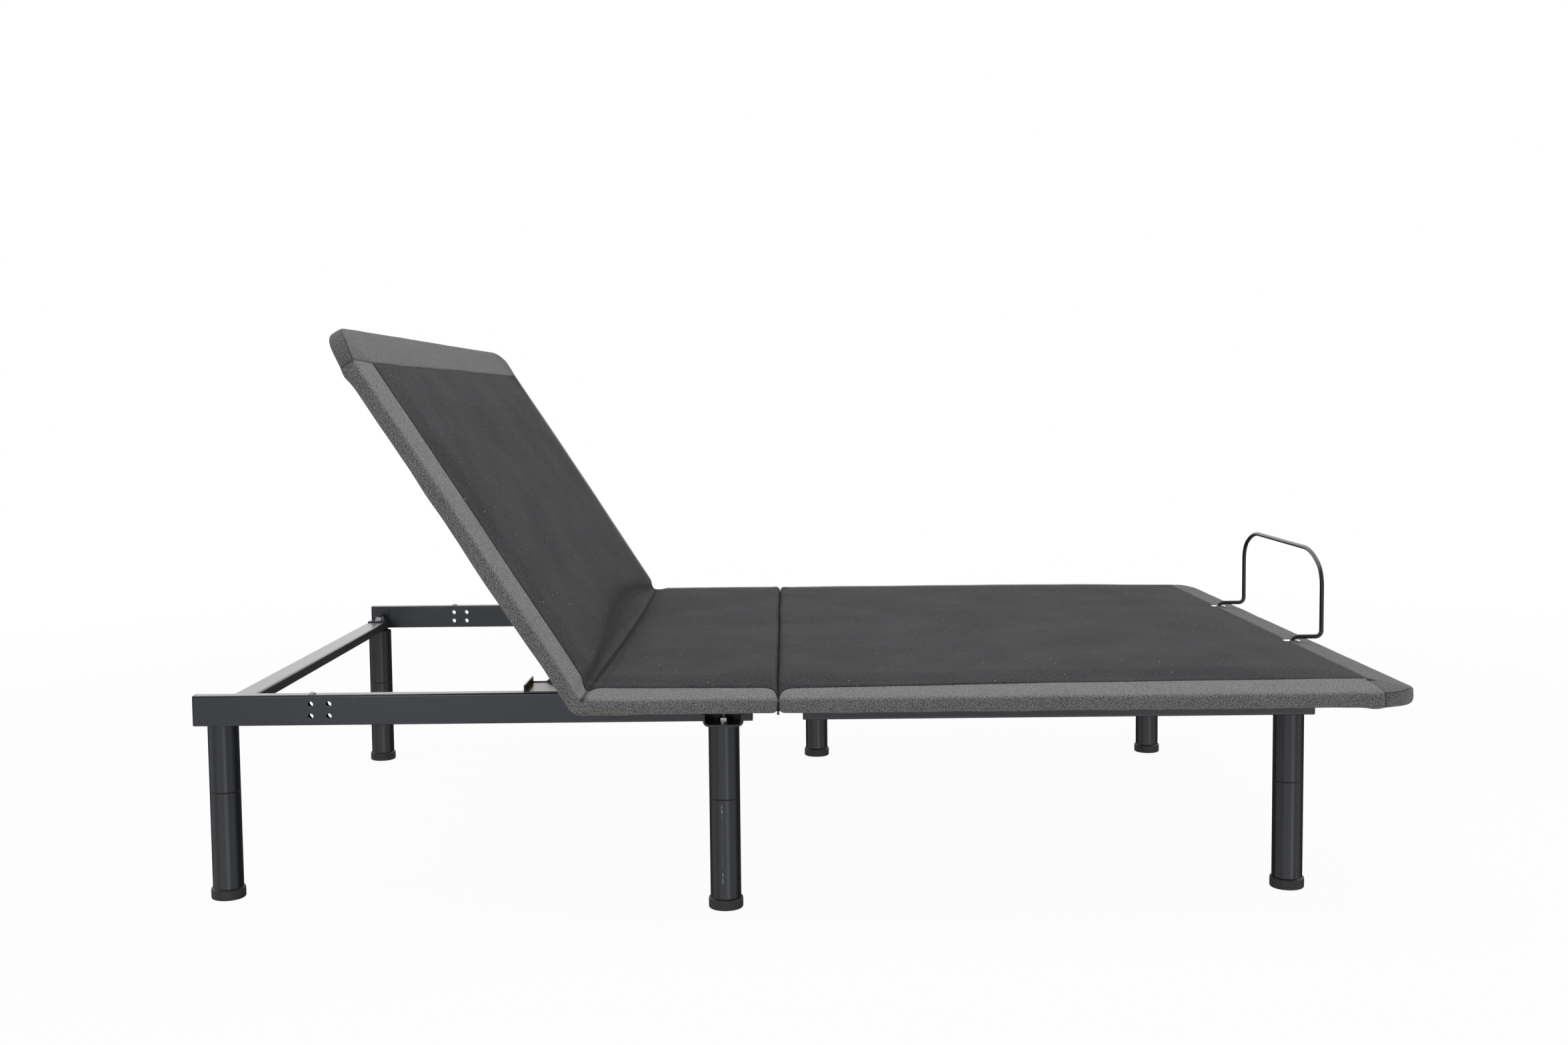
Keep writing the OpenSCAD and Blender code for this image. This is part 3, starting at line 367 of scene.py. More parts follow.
def rubberFinish():
    material, w, shader = newFinish("clearSoftRubber", {"IOR": 1.42, "Transmission Weight": rubberLook["clear"]})
    haze = w.cloud(w.objectSpot(), rubberLook["haze"], 2.0)
    feed(w, shader, haze.mix(sRgb(*rubberLook["dark"]), sRgb(*rubberLook["light"])),
         rubberLook["rough"] + (haze - 0.5) * 0.2, w.bump(haze, *rubberLook["bump"]))
    return material


nylonLook = {"clean": (226, 225, 220), "scuffed": (198, 196, 190), "turned": 60.0, "scuff": 220.0,
             "rough": 0.42, "bump": (0.10, 0.0003)}


def nylonFinish():
    material, w, shader = newFinish("rollerNylon", {"IOR": 1.53, "Subsurface Weight": 0.05})
    turned = w.cloud(w.objectSpot((1, 40, 1)), nylonLook["turned"], 3.0)
    scuff = w.cloud(w.objectSpot(), nylonLook["scuff"], 4.0, 0.7)
    tone = scuff.spread(0.5, 0.8).mix(sRgb(*nylonLook["clean"]), sRgb(*nylonLook["scuffed"]))
    feed(w, shader, tone, nylonLook["rough"] + (turned - 0.5) * 0.2, w.bump(turned, *nylonLook["bump"]))
    return material


boardLook = {"grain": ((0.30, (176, 138, 94)), (0.52, (203, 168, 122)), (0.70, (158, 118, 76))),
             "fibreTone": (140, 102, 64), "knotTone": (104, 70, 42), "rings": 9.0, "fibre": 16.0, "knots": 3.2,
             "rough": 0.62, "bump": (0.25, 0.0006)}


def boardFinish():
    material, w, shader = newFinish("pineBoard", {"IOR": 1.45})
    rings = w.cloud(w.objectSpot((0.9, 9, 9)), boardLook["rings"], 5.0, 0.6, 1.2)
    fibre = w.cloud(w.objectSpot((3, 90, 90)), boardLook["fibre"], 3.0, 0.6)
    knot = w.cells(w.objectSpot((1, 2.2, 2.2)), boardLook["knots"])
    stops = [(place, sRgb(*tone)) for place, tone in boardLook["grain"]]
    tone = w.node("ShaderNodeValToRGB", {"Fac": rings}, stops=stops)
    tone = (fibre.spread(0.35, 0.8) * 0.35).mix(tone, sRgb(*boardLook["fibreTone"]))
    tone = knot.spread(0.05, 0.015).mix(tone, sRgb(*boardLook["knotTone"]))
    feed(w, shader, tone, boardLook["rough"] + (fibre - 0.5) * 0.25, w.bump(fibre, *boardLook["bump"]))
    return material


blackCloth = {
    "light": (81, 81, 83),
    "dark": (29, 29, 33),
    "lintTone": (196, 196, 192),
    "streakTone": (94, 94, 95),
    "shade": (14, 14, 16),
    "seam": (20, 20, 22),
    "knit": 170.0,
    "nap": 620.0,
    "pepper": 240.0,
    "broad": 6.0,
    "drawn": 3.0,
    "lint": ((34.0, 0.026, 0.84, 0.72), (95.0, 0.055, 0.92, 0.26)),    # scale, size, rareness and strength
    "fineLint": (150.0, 0.10, 0.965, 0.20),
    "rough": 0.86,
    "napBump": (0.26, 0.0010),
    "knitBump": (0.16, 0.0006),
}


def blackClothFinish():
    material, w, shader = newFinish("blackDeckCloth", {"IOR": 1.4, "Sheen Weight": 0.03, "Sheen Roughness": 0.5,
                                                       "Specular IOR Level": 0.18})
    spot = w.clothSpot()
    knit = w.weave(blackCloth["knit"], 45, 1.5) + w.weave(blackCloth["knit"], -45, 1.5)
    nap = w.cloud(spot, blackCloth["nap"], 3.0, 0.75)
    pepper = w.cloud(w.clothSpot((1, 0.35, 1)), blackCloth["pepper"], 2.0, 0.7)
    broad = w.cloud(w.clothSpot((1, 0.7, 1)), blackCloth["broad"], 4.0, 0.6)
    drawn = w.cloud(w.clothSpot((4, 130, 1)), blackCloth["drawn"], 4.0, 0.65)
    streak = drawn.spread(0.56, 0.78) * w.cloud(spot, 5.0, 2.0).spread(0.45, 0.62)
    strewn = w.clothSpot((1, 0.28, 1))
    lint = [w.flecks(strewn, *cut) * strength for *cut, strength in blackCloth["lint"]]
    *cut, strength = blackCloth["fineLint"]
    lint.append(w.flecks(w.clothSpot((1, 0.5, 1), 24), *cut) * strength)
    body = broad.spread(0.25, 0.75) * 0.34 + nap.spread(0.3, 0.7) * 0.30 + pepper.spread(0.35, 0.65) * 0.36
    body = body.mix(sRgb(*blackCloth["dark"]), sRgb(*blackCloth["light"]))
    body = (streak * 0.5).mix(body, sRgb(*blackCloth["streakTone"]))
    body = (w.mask("shade") * 0.86).mix(body, sRgb(*blackCloth["shade"]))
    body = w.most(*lint).mix(body, sRgb(*blackCloth["lintTone"]))
    body = (w.mask("seam") * 0.9).mix(body, sRgb(*blackCloth["seam"]))
    under = w.bump(knit, *blackCloth["knitBump"])
    feed(w, shader, body, blackCloth["rough"] + (nap - 0.5) * 0.12,
         w.bump(nap * 0.6 + drawn * 0.4, *blackCloth["napBump"], under))
    return material


greyCloth = {
    "light": (164, 164, 163),
    "dark": (36, 37, 39),
    # between the twill's threads, and also the painted shade on the side faces and the end bands
    "gap": (30, 31, 33),
    "fuzzTone": (204, 204, 201),
    # the seams' colour, also used for the painted shade of the pinch, its slit and the gap
    "seam": (32, 32, 34),
    "twill": 940.0,
    "slub": 580.0,
    "tuft": 600.0,
    "broad": 16.0,
    "fuzz": (160.0, 0.12, 0.985),    # scale, size and rareness
    "rough": 0.84,
    "tuftBump": (0.46, 0.0011),
    "twillBump": (0.24, 0.0008),
}


def greyClothFinish():
    material, w, shader = newFinish("greyHeatherCloth", {"IOR": 1.45, "Sheen Weight": 0.08,
                                                         "Sheen Roughness": 0.45, "Specular IOR Level": 0.22})
    spot = w.clothSpot()
    side = w.mask("side")
    twill = w.cloud(w.clothSpot((1, 0.42, 1), 26), greyCloth["twill"], 2.0, 0.6)
    slub = w.cloud(w.clothSpot((1, 0.8, 1), -14), greyCloth["slub"], 3.0, 0.8)
    tuft = w.cells(w.clothSpot((1, 1.3, 1), -40), greyCloth["tuft"])
    broad = w.cloud(spot, greyCloth["broad"], 3.0, 0.6)
    thread = (slub * 0.74 + tuft * 0.26).spread(0.34, 0.58)
    # the side faces painted darker: painted shade
    thread = thread * (1 - side * 0.26) + (broad - 0.5) * 0.20
    gap, seam = sRgb(*greyCloth["gap"]), sRgb(*greyCloth["seam"])
    body = thread.mix(sRgb(*greyCloth["dark"]), sRgb(*greyCloth["light"]))
    # more of the twill's dark on the side faces: twill and painted shade
    body = (twill.spread(0.42, 0.66) * (0.18 + side * 0.45)).mix(body, gap)
    body = (w.flecks(spot, *greyCloth["fuzz"]) * 0.6).mix(body, sRgb(*greyCloth["fuzzTone"]))
    # the end bands, where the grain runs across, painted darker as painted shade, less on their side faces
    body = (w.mask("grain") * (1 - side * 0.55) * 0.32).mix(body, gap)
    # painted shade of the pinch and the gap, in the seams' colour
    body = (w.mask("shade") * 0.70).mix(body, seam)
    body = (w.mask("seam") * 0.92).mix(body, seam)
    under = w.bump(twill, *greyCloth["twillBump"])
    feed(w, shader, body, greyCloth["rough"] + (slub - 0.5) * 0.14,
         w.bump(slub * 0.5 + tuft * 0.5, *greyCloth["tuftBump"], under))
    return material


finishes = {
    "powder_coat": powderFinish("powderCoatSatin", powder["rail"], powder["rough"]),
    "zinc": zincFinish(),
    "black_plastic": plasticFinish(),
    "motor_steel": paintFinish("motorSatinBlack", motorLook),
    "clear_rubber": rubberFinish(),
    "roller_nylon": nylonFinish(),
    "board": boardFinish(),
    "black_cloth": blackClothFinish(),
    "grey_cloth": greyClothFinish(),
}
barCoat = paintFinish("barPowderBlack", barLook)
# the legs' copy of the powder coat: a darker tone as painted shade, a little glossier, with the joint line and the
# scratch
paintedShadeLegCoat = powderFinish("powderCoatLegs", powder["leg"], powder["rough"] - powder["legGloss"], marked=True)


def dressFrame():
    for part in record["subparts"]:
        piece = nodes[part["node"]]
        coat = finishes[part["material_slot"]]
        if part["node"] == "mattress_bar":
            coat = barCoat
        elif part["node"].startswith(("leg_tube", "leg_end")):
            coat = paintedShadeLegCoat
        if not piece.material_slots:
            piece.data.materials.append(coat)
        for slot in piece.material_slots:
            slot.link = "OBJECT"
            slot.material = coat


dressFrame()
print("finishes on the frame's pieces")


# covers

lift = next(j for j in record["behaviour"]["joints"] if j["name"] == "head_lift")
foldX, _, foldZ = lift["pos_m"]
rise = radians(-lift["range_deg"][0])
_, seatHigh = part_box("seat_border")
footLow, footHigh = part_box("foot_border")

deck = {
    "halfWidth": footHigh.y,
    "headReach": 0.700,      # head panel from the fold to its free end
    "sideBand": 0.0675,      # width of the grey band along the sides
    "seamZ": 0.3775,         # level of the seam and of the outer edge
    "edgeZ": 0.3675,
    "lowZ": footLow.z,
    "crown": 0.0062,         # rise of the padded middle
    "crownRun": 0.095,       # distance over which it rises
    "skin": 0.0016,          # thickness of the cloth
    "tuck": 0.0035,          # how far the black cloth runs under the band
    "bendSpan": 0.046,       # cloth that turns at the fold
}
deck["mid"] = (deck["edgeZ"] + deck["lowZ"]) / 2      # half way down the border's side
gap = {
    "round": 0.010,          # roll of the cloth into the gap between the halves
    "reach": 0.0018,         # cloth that bulges into it
    "skirt": 0.034,          # cloth that hangs in it
    "turn": 0.026,           # turn of the seam beside the gap, along the bed
    "turnOut": 0.042,        # and across it
    "wave": 0.0013,          # of its sides, and how far in from it the wave fades
    "waveFade": 0.03,
    "pucker": 0.0005,
}
farPuff = {                  # swell of the border along the far side
    "rise": 0.0070,
    "from": 0.03,            # how far inside the seam it starts
    "over": 0.07,            # distance across over which it grows
    "foldFade": (0.002, 0.035),
    "endFade": (0.05, 0.25),
    "uneven": 0.35,
}
foldLift = {"rise": 0.0052, "at": -0.006, "wide": 0.015, "across": 0.05}     # cloth pushed up at the fold's ends
notch = {"deep": 0.024, "at": -0.003, "headSide": 0.017, "seatSide": 0.011}
fold = {                     # at is the place beside the fold, bow how far it moves across the bed
    "seatCrease": {"at": 0.003, "bow": 0.011, "deep": 0.0066, "wide": 0.0060, "shade": 0.96},
    "headCrease": {"at": 0.010, "bow": 0.044, "deep": 0.0070, "wide": 0.0100, "widen": 0.011, "shade": 0.74},
    "lean": 1.35,            # above 1, the head crease bows more toward the far side
    "web": {"rise": 0.0054, "at": -0.010, "bow": 0.018, "wide": 0.012, "widen": 0.016},    # between the two
    "dip": {"at": 0.088, "bow": 0.035, "deep": 0.0016, "wide": 0.018},     # a shallow one on the seat
    "soft": {"reach": 0.048, "shade": 0.56},       # shade spread over the seat
    "broad": {"reach": 0.042, "shade": 0.46},      # and about the head crease
}

# way is the half's direction along X. lean is the drift of the near seam, by distance from the gap. endBand is the
# width of the grey band across the end, corner the outer corner's radius in plan, and cornerSeam where the band's
# joining seam meets it, in degrees of its turn.
footHalf = {"gap": footLow.x - gap["reach"], "end": footHigh.x, "way": 1, "fold": None, "seed": 3.1,
            "endBand": 0.0665, "corner": 0.066, "cornerSeam": 2.6,
            "lean": ((0.0, 0.017), (0.45, 0.0), (0.9, -0.011))}
headHalf = {"gap": seatHigh.x + gap["reach"], "end": foldX - deck["headReach"], "way": -1, "seed": 11.7,
            "endBand": 0.0755, "corner": 0.090, "cornerSeam": 17.0,
            "lean": ((0.0, 0.012), (0.30, 0.004), (0.5, 0.0))}
headHalf["fold"] = headHalf["gap"] - foldX
for half in (footHalf, headHalf):
    half["length"] = abs(half["end"] - half["gap"])

bendWay = Vector((-cos(rise / 2), 0, sin(rise / 2)))


def raised(point):  # the flat cover's point, where it lies with the head up
    qx, qz = point.x - foldX, point.z - foldZ

    def turned(share):
        c, s = cos(share * rise), sin(share * rise)
        return qx * c + qz * s, qz * c - qx * s

    def carried(bx, bz):
        return ease((bx * bendWay.x + bz * bendWay.z) / deck["bendSpan"] + 0.5)

    bx, bz = turned(1.0)
    if carried(bx, bz) < 1:
        low, high = 0.0, 1.0
        for _ in range(30):
            share = (low + high) / 2
            bx, bz = turned(share)
            if carried(bx, bz) > share:
                low = share
            else:
                high = share
    return Vector((foldX + bx, point.y, foldZ + bz))


def rollOver(run, radius):  # from cloth run past an edge: distance in from the edge, and drop
    if run >= radius:
        return run, 0.0
    turn = (radius - run) / radius
    if turn <= pi / 2:
        return radius - radius * sin(turn), radius * (1 - cos(turn))
    return 0.0, radius + (turn - pi / 2) * radius


def boardLevel(half, a, y):  # the cover's level before it is padded; a is the distance from the gap
    fall = deck["seamZ"] - deck["edgeZ"]
    outer = min(fall / deck["sideBand"] * (deck["halfWidth"] - abs(y)),
                fall / half["endBand"] * (half["length"] - a))
    level = min(deck["seamZ"], deck["edgeZ"] + outer)
    seamY = deck["halfWidth"] - deck["sideBand"]
    if half["fold"]:
        clear, fade = farPuff["foldFade"]
        along = ease((abs(a - half["fold"]) - clear) / fade)
        near = ease((abs(y) - seamY + foldLift["across"]) / foldLift["across"])
        level += foldLift["rise"] * near * bell(a - half["fold"] - foldLift["at"], foldLift["wide"])
    else:
        clear, fade = farPuff["endFade"]
        along = ease((half["length"] - clear - a) / fade)
    out = ease((y - seamY + farPuff["from"]) / farPuff["over"])
    uneven = 1 + farPuff["uneven"] * ripple(a * 6, 4.4, half["seed"])
    return level + farPuff["rise"] * out * along * uneven


seamWave = {"side": (0.0021, 0.0010), "end": (0.0022, 0.0008)}     # long and short waves in the seams


def seamShift(half, a, side):  # how far the side seam lies outside its straight line
    long, short = seamWave["side"]
    shift = long * ripple(a * 6.5, side * 3.7, half["seed"]) + short * ripple(a * 19, side * 9.1, half["seed"])
    near = clamp((gap["turn"] - a) / gap["turn"])
    shift += (1 - sqrt(1 - near * near)) * gap["turnOut"]
    if side < 0:
        shift += paced(max(a, 0), half["lean"])
    if half["fold"]:
        away = a - half["fold"] - notch["at"]
        shift += notch["deep"] * bell(away, notch["headSide"] if away > 0 else notch["seatSide"])
    return shift


def endShift(half, y):  # how far the end seam lies outside its straight line
    long, short = seamWave["end"]
    return long * ripple(y * 6.1, half["seed"] + 4.0) + short * ripple(y * 21, half["seed"])


def gapWave(run, y, z):  # both sides of the gap wave together
    return gap["wave"] * ripple(y * 5.0, z * 30, 2.2) * exp(-max(run, 0) / gap["waveFade"])


def foldShape(u, across):  # the fold's creases: level, and how deep in shade; u is up the head
    bow = sin(pi * across)
    lean = sin(pi * across ** fold["lean"])
    seat, head, web, dip = (fold[name] for name in ("seatCrease", "headCrease", "web", "dip"))
    off = u + seat["at"] + seat["bow"] * bow
    first = bell(off, seat["wide"] if off < 0 else seat["wide"] * 0.7)
    soft = bow * bell(max(-off, 0), fold["soft"]["reach"]) * (off < 0.004)
    up = u - head["at"] - head["bow"] * lean
    second = bell(up, head["wide"] + head["widen"] * lean)
    broad = bow * bell(up, fold["broad"]["reach"])
    between = (u - web["at"] - web["bow"] * bow) / (web["wide"] + web["widen"] * bow)
    level = web["rise"] * bow * exp(-between ** 4)
    level -= seat["deep"] * first * (0.6 + 0.4 * bow) + head["deep"] * second * (0.5 + 0.5 * lean)
    level -= dip["deep"] * bow * bell(u + dip["at"] - dip["bow"] * across ** 2, dip["wide"])
    shade = max(seat["shade"] * first, fold["soft"]["shade"] * soft)
    return level, clamp(shade + head["shade"] * second + fold["broad"]["shade"] * broad)


sinks = {"broad": 0.0012, "small": 0.0006, "ribs": 0.0004, "gathers": 0.0011}    # the last two beside the gap


def deckCrease(half, a, y):  # sinks and swells of the black cloth, and shade in them
    across = clamp((y / (deck["halfWidth"] - deck["sideBand"]) + 1) / 2)
    seed = half["seed"]
    level = sinks["broad"] * ripple(a * 5.2, y * 3.4, seed) + sinks["small"] * ripple(a * 13, y * 8, seed)
    level += sinks["ribs"] * ripple(a * 14, y * 46, seed + 7) * exp(-max(a - 0.02, 0) / 0.18)
    level += sinks["gathers"] * ripple(y * 26, seed + 1.5) * exp(-max(a, 0) / 0.040)
    shade = 0.0
    if half["fold"]:
        folded, shade = foldShape(a - half["fold"], across)
        level += folded
    return level, shade


seamEdge = {                 # heights come with the distance over which they pass
    "sunk": (0.0011, 0.0016),
    "lip": (0.0012, 0.0040),
    "under": (0.0007, 0.003),
    "line": 0.0018,          # half width of the dark line
    "calm": 0.02,            # creases fade out this close to the seam
}


def padTop(half, a, y):  # level, seam and shade
    inSide = deck["halfWidth"] - deck["sideBand"] + seamShift(half, a, 1 if y > 0 else -1) - abs(y)
    inEnd = half["length"] - half["endBand"] + endShift(half, y) - a
    inset = min(inSide, inEnd)
    level = boardLevel(half, a, y)
    (sunk, sunkOver), (rise, riseOver), (under, underOver) = (seamEdge[name] for name in ("sunk", "lip", "under"))
    if inset < 0:
        return level - sunk - under * clamp(-inset / underOver), 1.0, 0.0
    swell = ease(inSide / deck["crownRun"]) * ease(inEnd / deck["crownRun"])
    lip = rise * (1 - exp(-inset / riseOver)) - sunk * exp(-inset / sunkOver)
    crease, shade = deckCrease(half, a, y)
    level += lip + deck["crown"] * swell + crease * ease(inset / seamEdge["calm"])
    return level, bell(inset, seamEdge["line"]), shade


def meshFromGrid(columns, rows, shape):  # shape gives a vertex's place, its spot on the flat cloth and its masks
    bm = bmesh.new()
    bmesh.ops.create_grid(bm, x_segments=columns - 1, y_segments=rows - 1, size=0.5)
    sheetMap = bm.loops.layers.uv.new("cloth")
    layers = {name: bm.verts.layers.float.new(name) for name in ("seam", "side", "grain", "shade")}
    laid = {}
    for vert in bm.verts:
        i = round((vert.co.x + 0.5) * (columns - 1))
        j = round((vert.co.y + 0.5) * (rows - 1))
        vert.co, laid[vert], masks = shape(i, j)
        for name, amount in masks.items():
            vert[layers[name]] = amount
    for face in bm.faces:
        for loop in face.loops:
            loop[sheetMap].uv = laid[loop.vert]
    return bm


def closeAndPlace(name, bm, coat, bend):  # gives the sheet its thickness, and raises the head's part
    bmesh.ops.recalc_face_normals(bm, faces=bm.faces)
    if sum(face.normal.z * face.calc_area() for face in bm.faces) < 0:
        bmesh.ops.reverse_faces(bm, faces=bm.faces)
    bm.normal_update()
    outward = {tuple(round(c, 7) for c in vert.co): vert.normal.copy() for vert in bm.verts}
    made = bmesh.ops.extrude_face_region(bm, geom=bm.faces[:], use_keep_orig=True)
    for vert in made["geom"]:
        if isinstance(vert, bmesh.types.BMVert):
            vert.co -= outward[tuple(round(c, 7) for c in vert.co)] * deck["skin"]
    bmesh.ops.recalc_face_normals(bm, faces=bm.faces)
    if bend:
        for vert in bm.verts:
            vert.co = raised(vert.co)
    mesh = bpy.data.meshes.new(name)
    bm.to_mesh(mesh)
    bm.free()
    for face in mesh.polygons:
        face.use_smooth = True
    mesh.materials.append(coat)
    piece = bpy.data.objects.new(name, mesh)
    bpy.context.collection.objects.link(piece)
    return piece


def padStops(half, length):  # where the pad's columns stand, denser in the gap and at the fold
    if not half["fold"]:
        return [(0, -gap["skirt"]), (0.10, 0.0), (0.17, 0.020), (0.92, length - 0.03), (1, length)]
    return [(0, -gap["skirt"]), (0.09, 0.0), (0.14, 0.020), (0.28, half["fold"] - 0.075),
            (0.62, half["fold"] + 0.085), (0.93, length - 0.03), (1, length)]


def makePad(name, half, columns, rows):
    radius = gap["round"]
    length = half["length"] - half["endBand"] + deck["tuck"]
    stops = padStops(half, length)

    def shape(i, j):
        run = paced(i / (columns - 1), stops)
        v = 2 * j / (rows - 1) - 1
        v = 0.78 * sin(v * pi / 2) + 0.22 * v      # rows stand closer near the sides
        inward, drop = rollOver(run, radius)
        edge = deck["halfWidth"] - deck["sideBand"] + deck["tuck"]
        y = v * (edge + seamShift(half, max(run, 0), 1 if v > 0 else -1))
        if run > length - 0.03:
            run += endShift(half, y) * clamp((run - length + 0.03) / 0.03)
            inward = run
        z, seam, shade = padTop(half, inward, y)
        pucker = gap["pucker"] * ripple(y * 28, half["seed"]) * clamp(1 - run / 0.02)
        x = half["gap"] + half["way"] * (inward + pucker) + gapWave(run, y, z - drop)
        shade = max(shade, 0.75 * clamp((drop - 0.003) / 0.012))
        z -= drop * (z - deck["lowZ"] - 0.004) / (radius + gap["skirt"] - pi / 2 * radius)
        return Vector((x, y, z)), (run, y), {"seam": seam, "shade": shade}

    bm = meshFromGrid(columns, rows, shape)
    return closeAndPlace(name, bm, finishes["black_cloth"], bool(half["fold"]))


band = {
    "arris": 0.0055,             # roll over the outer edge
    "hem": 0.005,                # roll under the lower edge
    "swell": 0.0013,             # of the top face between seam and edge
    "waves": {"edge": 0.0009, "face": 0.0008, "hem": 0.0012, "gap": 0.0006},
    "steps": (0.0014, 0.0028, 0.009),     # between stations: in the fold, near it or the gap, and elsewhere
    "topRows": 8,
    "sideRows": 5,
    "seamFrom": 0.0045,          # where the sewn edge ends and the top face starts
    "jointWide": 0.0012,         # dark line of the joining seam, and the width over which the cloth sinks there
    "jointSink": 0.0035,
    "sag": (0.0026, 0.014, 0.013),    # of the lower edge before the joining seam: drop, distance and width
    "pinch": (0.0090, 0.0045),   # width of the fold's pinch on the inside, and what it loses at the edge
    "slit": 0.0034,              # width of the painted shade of the pinch's slit
    "closed": 0.0165,            # drop into the gap at which the border has shut
}


def bandPath(half):  # stations along the border: kind, amount and side
    straight = half["length"] - half["corner"]
    joint = half["cornerSeam"]
    fine, medium, coarse = band["steps"]
    stations = []
    run = -0.030
    while run < straight - 0.004:
        stations.append(("side", run))
        away = abs(run - half["fold"]) if half["fold"] else 1.0
        run += fine if away < 0.012 else medium if abs(run) < 0.03 or away < 0.06 else coarse
    turns = [joint * share for share in (0, 0.24, 0.47, 0.70, 0.88)]
    turns += [joint + past for past in (-0.5, -0.3, 0, 0.3, 0.8, 2, 5)]
    turns += [joint + 5 + (85 - joint) * k / 17 for k in range(1, 18)]
    stations += [("turn", turn) for turn in turns]
    across = []
    y = deck["halfWidth"] - half["corner"] - coarse
    while y > 0:
        across.append(y)
        y -= coarse
    near = [(kind, amount, -1) for kind, amount in stations] + [("end", -y, -1) for y in across]
    far = [(kind, amount, 1) for kind, amount in stations] + [("end", y, 1) for y in across]
    return near + [("end", 0.0, -1)] + far[::-1]


def bandPlan(half, station):  # outer spot and inner spot, in (distance from the gap, y)
    kind, amount, side = station
    w, length = deck["halfWidth"], half["length"]
    inY = w - deck["sideBand"]
    inEnd = length - half["endBand"]
    if kind == "side":
        run = max(amount, 0)
        return (run, side * w), (run, side * (inY + seamShift(half, run, side)))
    if kind == "end":
        return (length, amount), (inEnd + endShift(half, amount), amount)
    r = half["corner"]
    fanFrom, fanTo = half["cornerSeam"], 62      # the turns that share the pad's corner
    outer = (length - r + r * sin(radians(amount)), side * (w - r + r * cos(radians(amount))))
    if amount < fanFrom:
        a = length - r + (r - half["endBand"]) * amount / fanFrom
        return outer, (a, side * (inY + seamShift(half, a, side)))
    if amount < fanTo:
        return outer, (inEnd + endShift(half, side * inY), side * (inY + seamShift(half, inEnd, side)))
    y = inY - (inY - (w - r)) * (amount - fanTo) / (90 - fanTo)
    return outer, (inEnd + endShift(half, side * y), side * y)


def bandRuns(stations, plans):  # distance along the border's outer edge
    runs = [0.0]
    for k in range(1, len(stations)):
        (kind, amount, _), (_, before, _) = stations[k], stations[k - 1]
        (a, y), (beforeA, beforeY) = plans[k][0], plans[k - 1][0]
        step = abs(amount - before) if kind == "side" else hypot(a - beforeA, y - beforeY)
        runs.append(runs[-1] + min(step, 0.02))
    return runs


def bandProfile(width, seamAt, edgeAt):  # inset from the edge, height, share of side face, length from the seam
    slope = (seamAt - edgeAt) / width
    radius, hem, low = band["arris"], band["hem"], deck["lowZ"]
    start = width - band["seamFrom"]
    rows = [(width + deck["tuck"], seamAt - 0.0018, 0.0), (width + 0.0010, seamAt - 0.0016, 0.0),
            (width - 0.0002, seamAt - 0.0010, 0.0), (width - 0.0016, seamAt - 0.0001, 0.0),
            (start, seamAt + 0.0004, 0.0)]
    for k in range(1, band["topRows"] + 1):
        inset = start + (radius + 0.001 - start) * k / band["topRows"]
        rows.append((inset, edgeAt + slope * inset + band["swell"] * sin(pi * k / (band["topRows"] + 1)), 0.0))
    edge = edgeAt + slope * radius
    for turn in (22, 38, 54, 70, 82):
        rows.append((radius - radius * sin(radians(turn)), edge - radius * (1 - cos(radians(turn))), turn / 90))
    for k in range(1, band["sideRows"] + 1):
        z = edge - radius + (low + hem - edge + radius) * k / band["sideRows"]
        rows.append((-0.0006 * sin(pi * k / (band["sideRows"] + 1)), z, 1.0))
    for turn in (30, 60, 90):
        rows.append((hem - hem * cos(radians(turn)), low + hem - hem * sin(radians(turn)), 1.0))
    rows += [(0.016, low + 0.0002, 1.0), (0.030, low + 0.0006, 1.0)]
    gone = [0.0]
    for (inset, z, _), (nextInset, nextZ, _) in zip(rows, rows[1:]):
        gone.append(gone[-1] + hypot(nextInset - inset, nextZ - z))
    return [(*row, length) for row, length in zip(rows, gone)]


def atCorner(half, kind, amount, spot):  # the joining seam, the stitched edge beyond it and the sag before it
    corner, joint = half["corner"], radians(half["cornerSeam"])
    if kind == "side":
        off = amount - half["length"] + corner - joint * corner
    else:
        off = (radians(amount) - joint) * corner
    if spot["z"] < deck["mid"]:
        drop, before, wide = band["sag"]
        spot["z"] -= drop * bell(off + before, wide)
    if kind == "side":
        return
    top = 1 - spot["side"]
    spot["grain"] = clamp((amount - half["cornerSeam"]) / 0.4)
    if spot["inset"] < spot["width"] - 0.001:
        spot["seam"] = max(spot["seam"], 0.8 * bell(off, band["jointWide"]))
    sink = bell(off, band["jointSink"])
    spot["z"] -= 0.0008 * sink * top
    spot["inset"] += 0.0007 * sink * spot["side"]
    if 0.3 < spot["side"] < 0.7 and off > 0:
        spot["seam"] = max(spot["seam"], 0.62 * clamp((84 - amount) / 30))


def atFold(u, spot):  # the border's pinch and the painted shade of the slit in it; u is up the head
    side, top = spot["side"], 1 - spot["side"]
    arris = 4 * side * top
    outward = clamp(1 - spot["inset"] / spot["width"])
    wide, narrower = band["pinch"]
    pinch = bell(u + 0.002, wide - narrower * outward)
    spot["inset"] += pinch * (0.0034 * arris + 0.0012 * (side >= 1) * clamp((spot["z"] - deck["lowZ"]) / 0.024))
    spot["z"] -= pinch * 0.0030 * (side < 1) * outward
    # painted shade in the slit, drawn with the seams' colour through the seam mask
    slit = bell(u + 0.001, band["slit"])
    spot["seam"] = max(spot["seam"], 0.95 * slit * clamp(2.4 * arris), 0.80 * slit * top)
    spot["shade"] = 0.30 * pinch * top


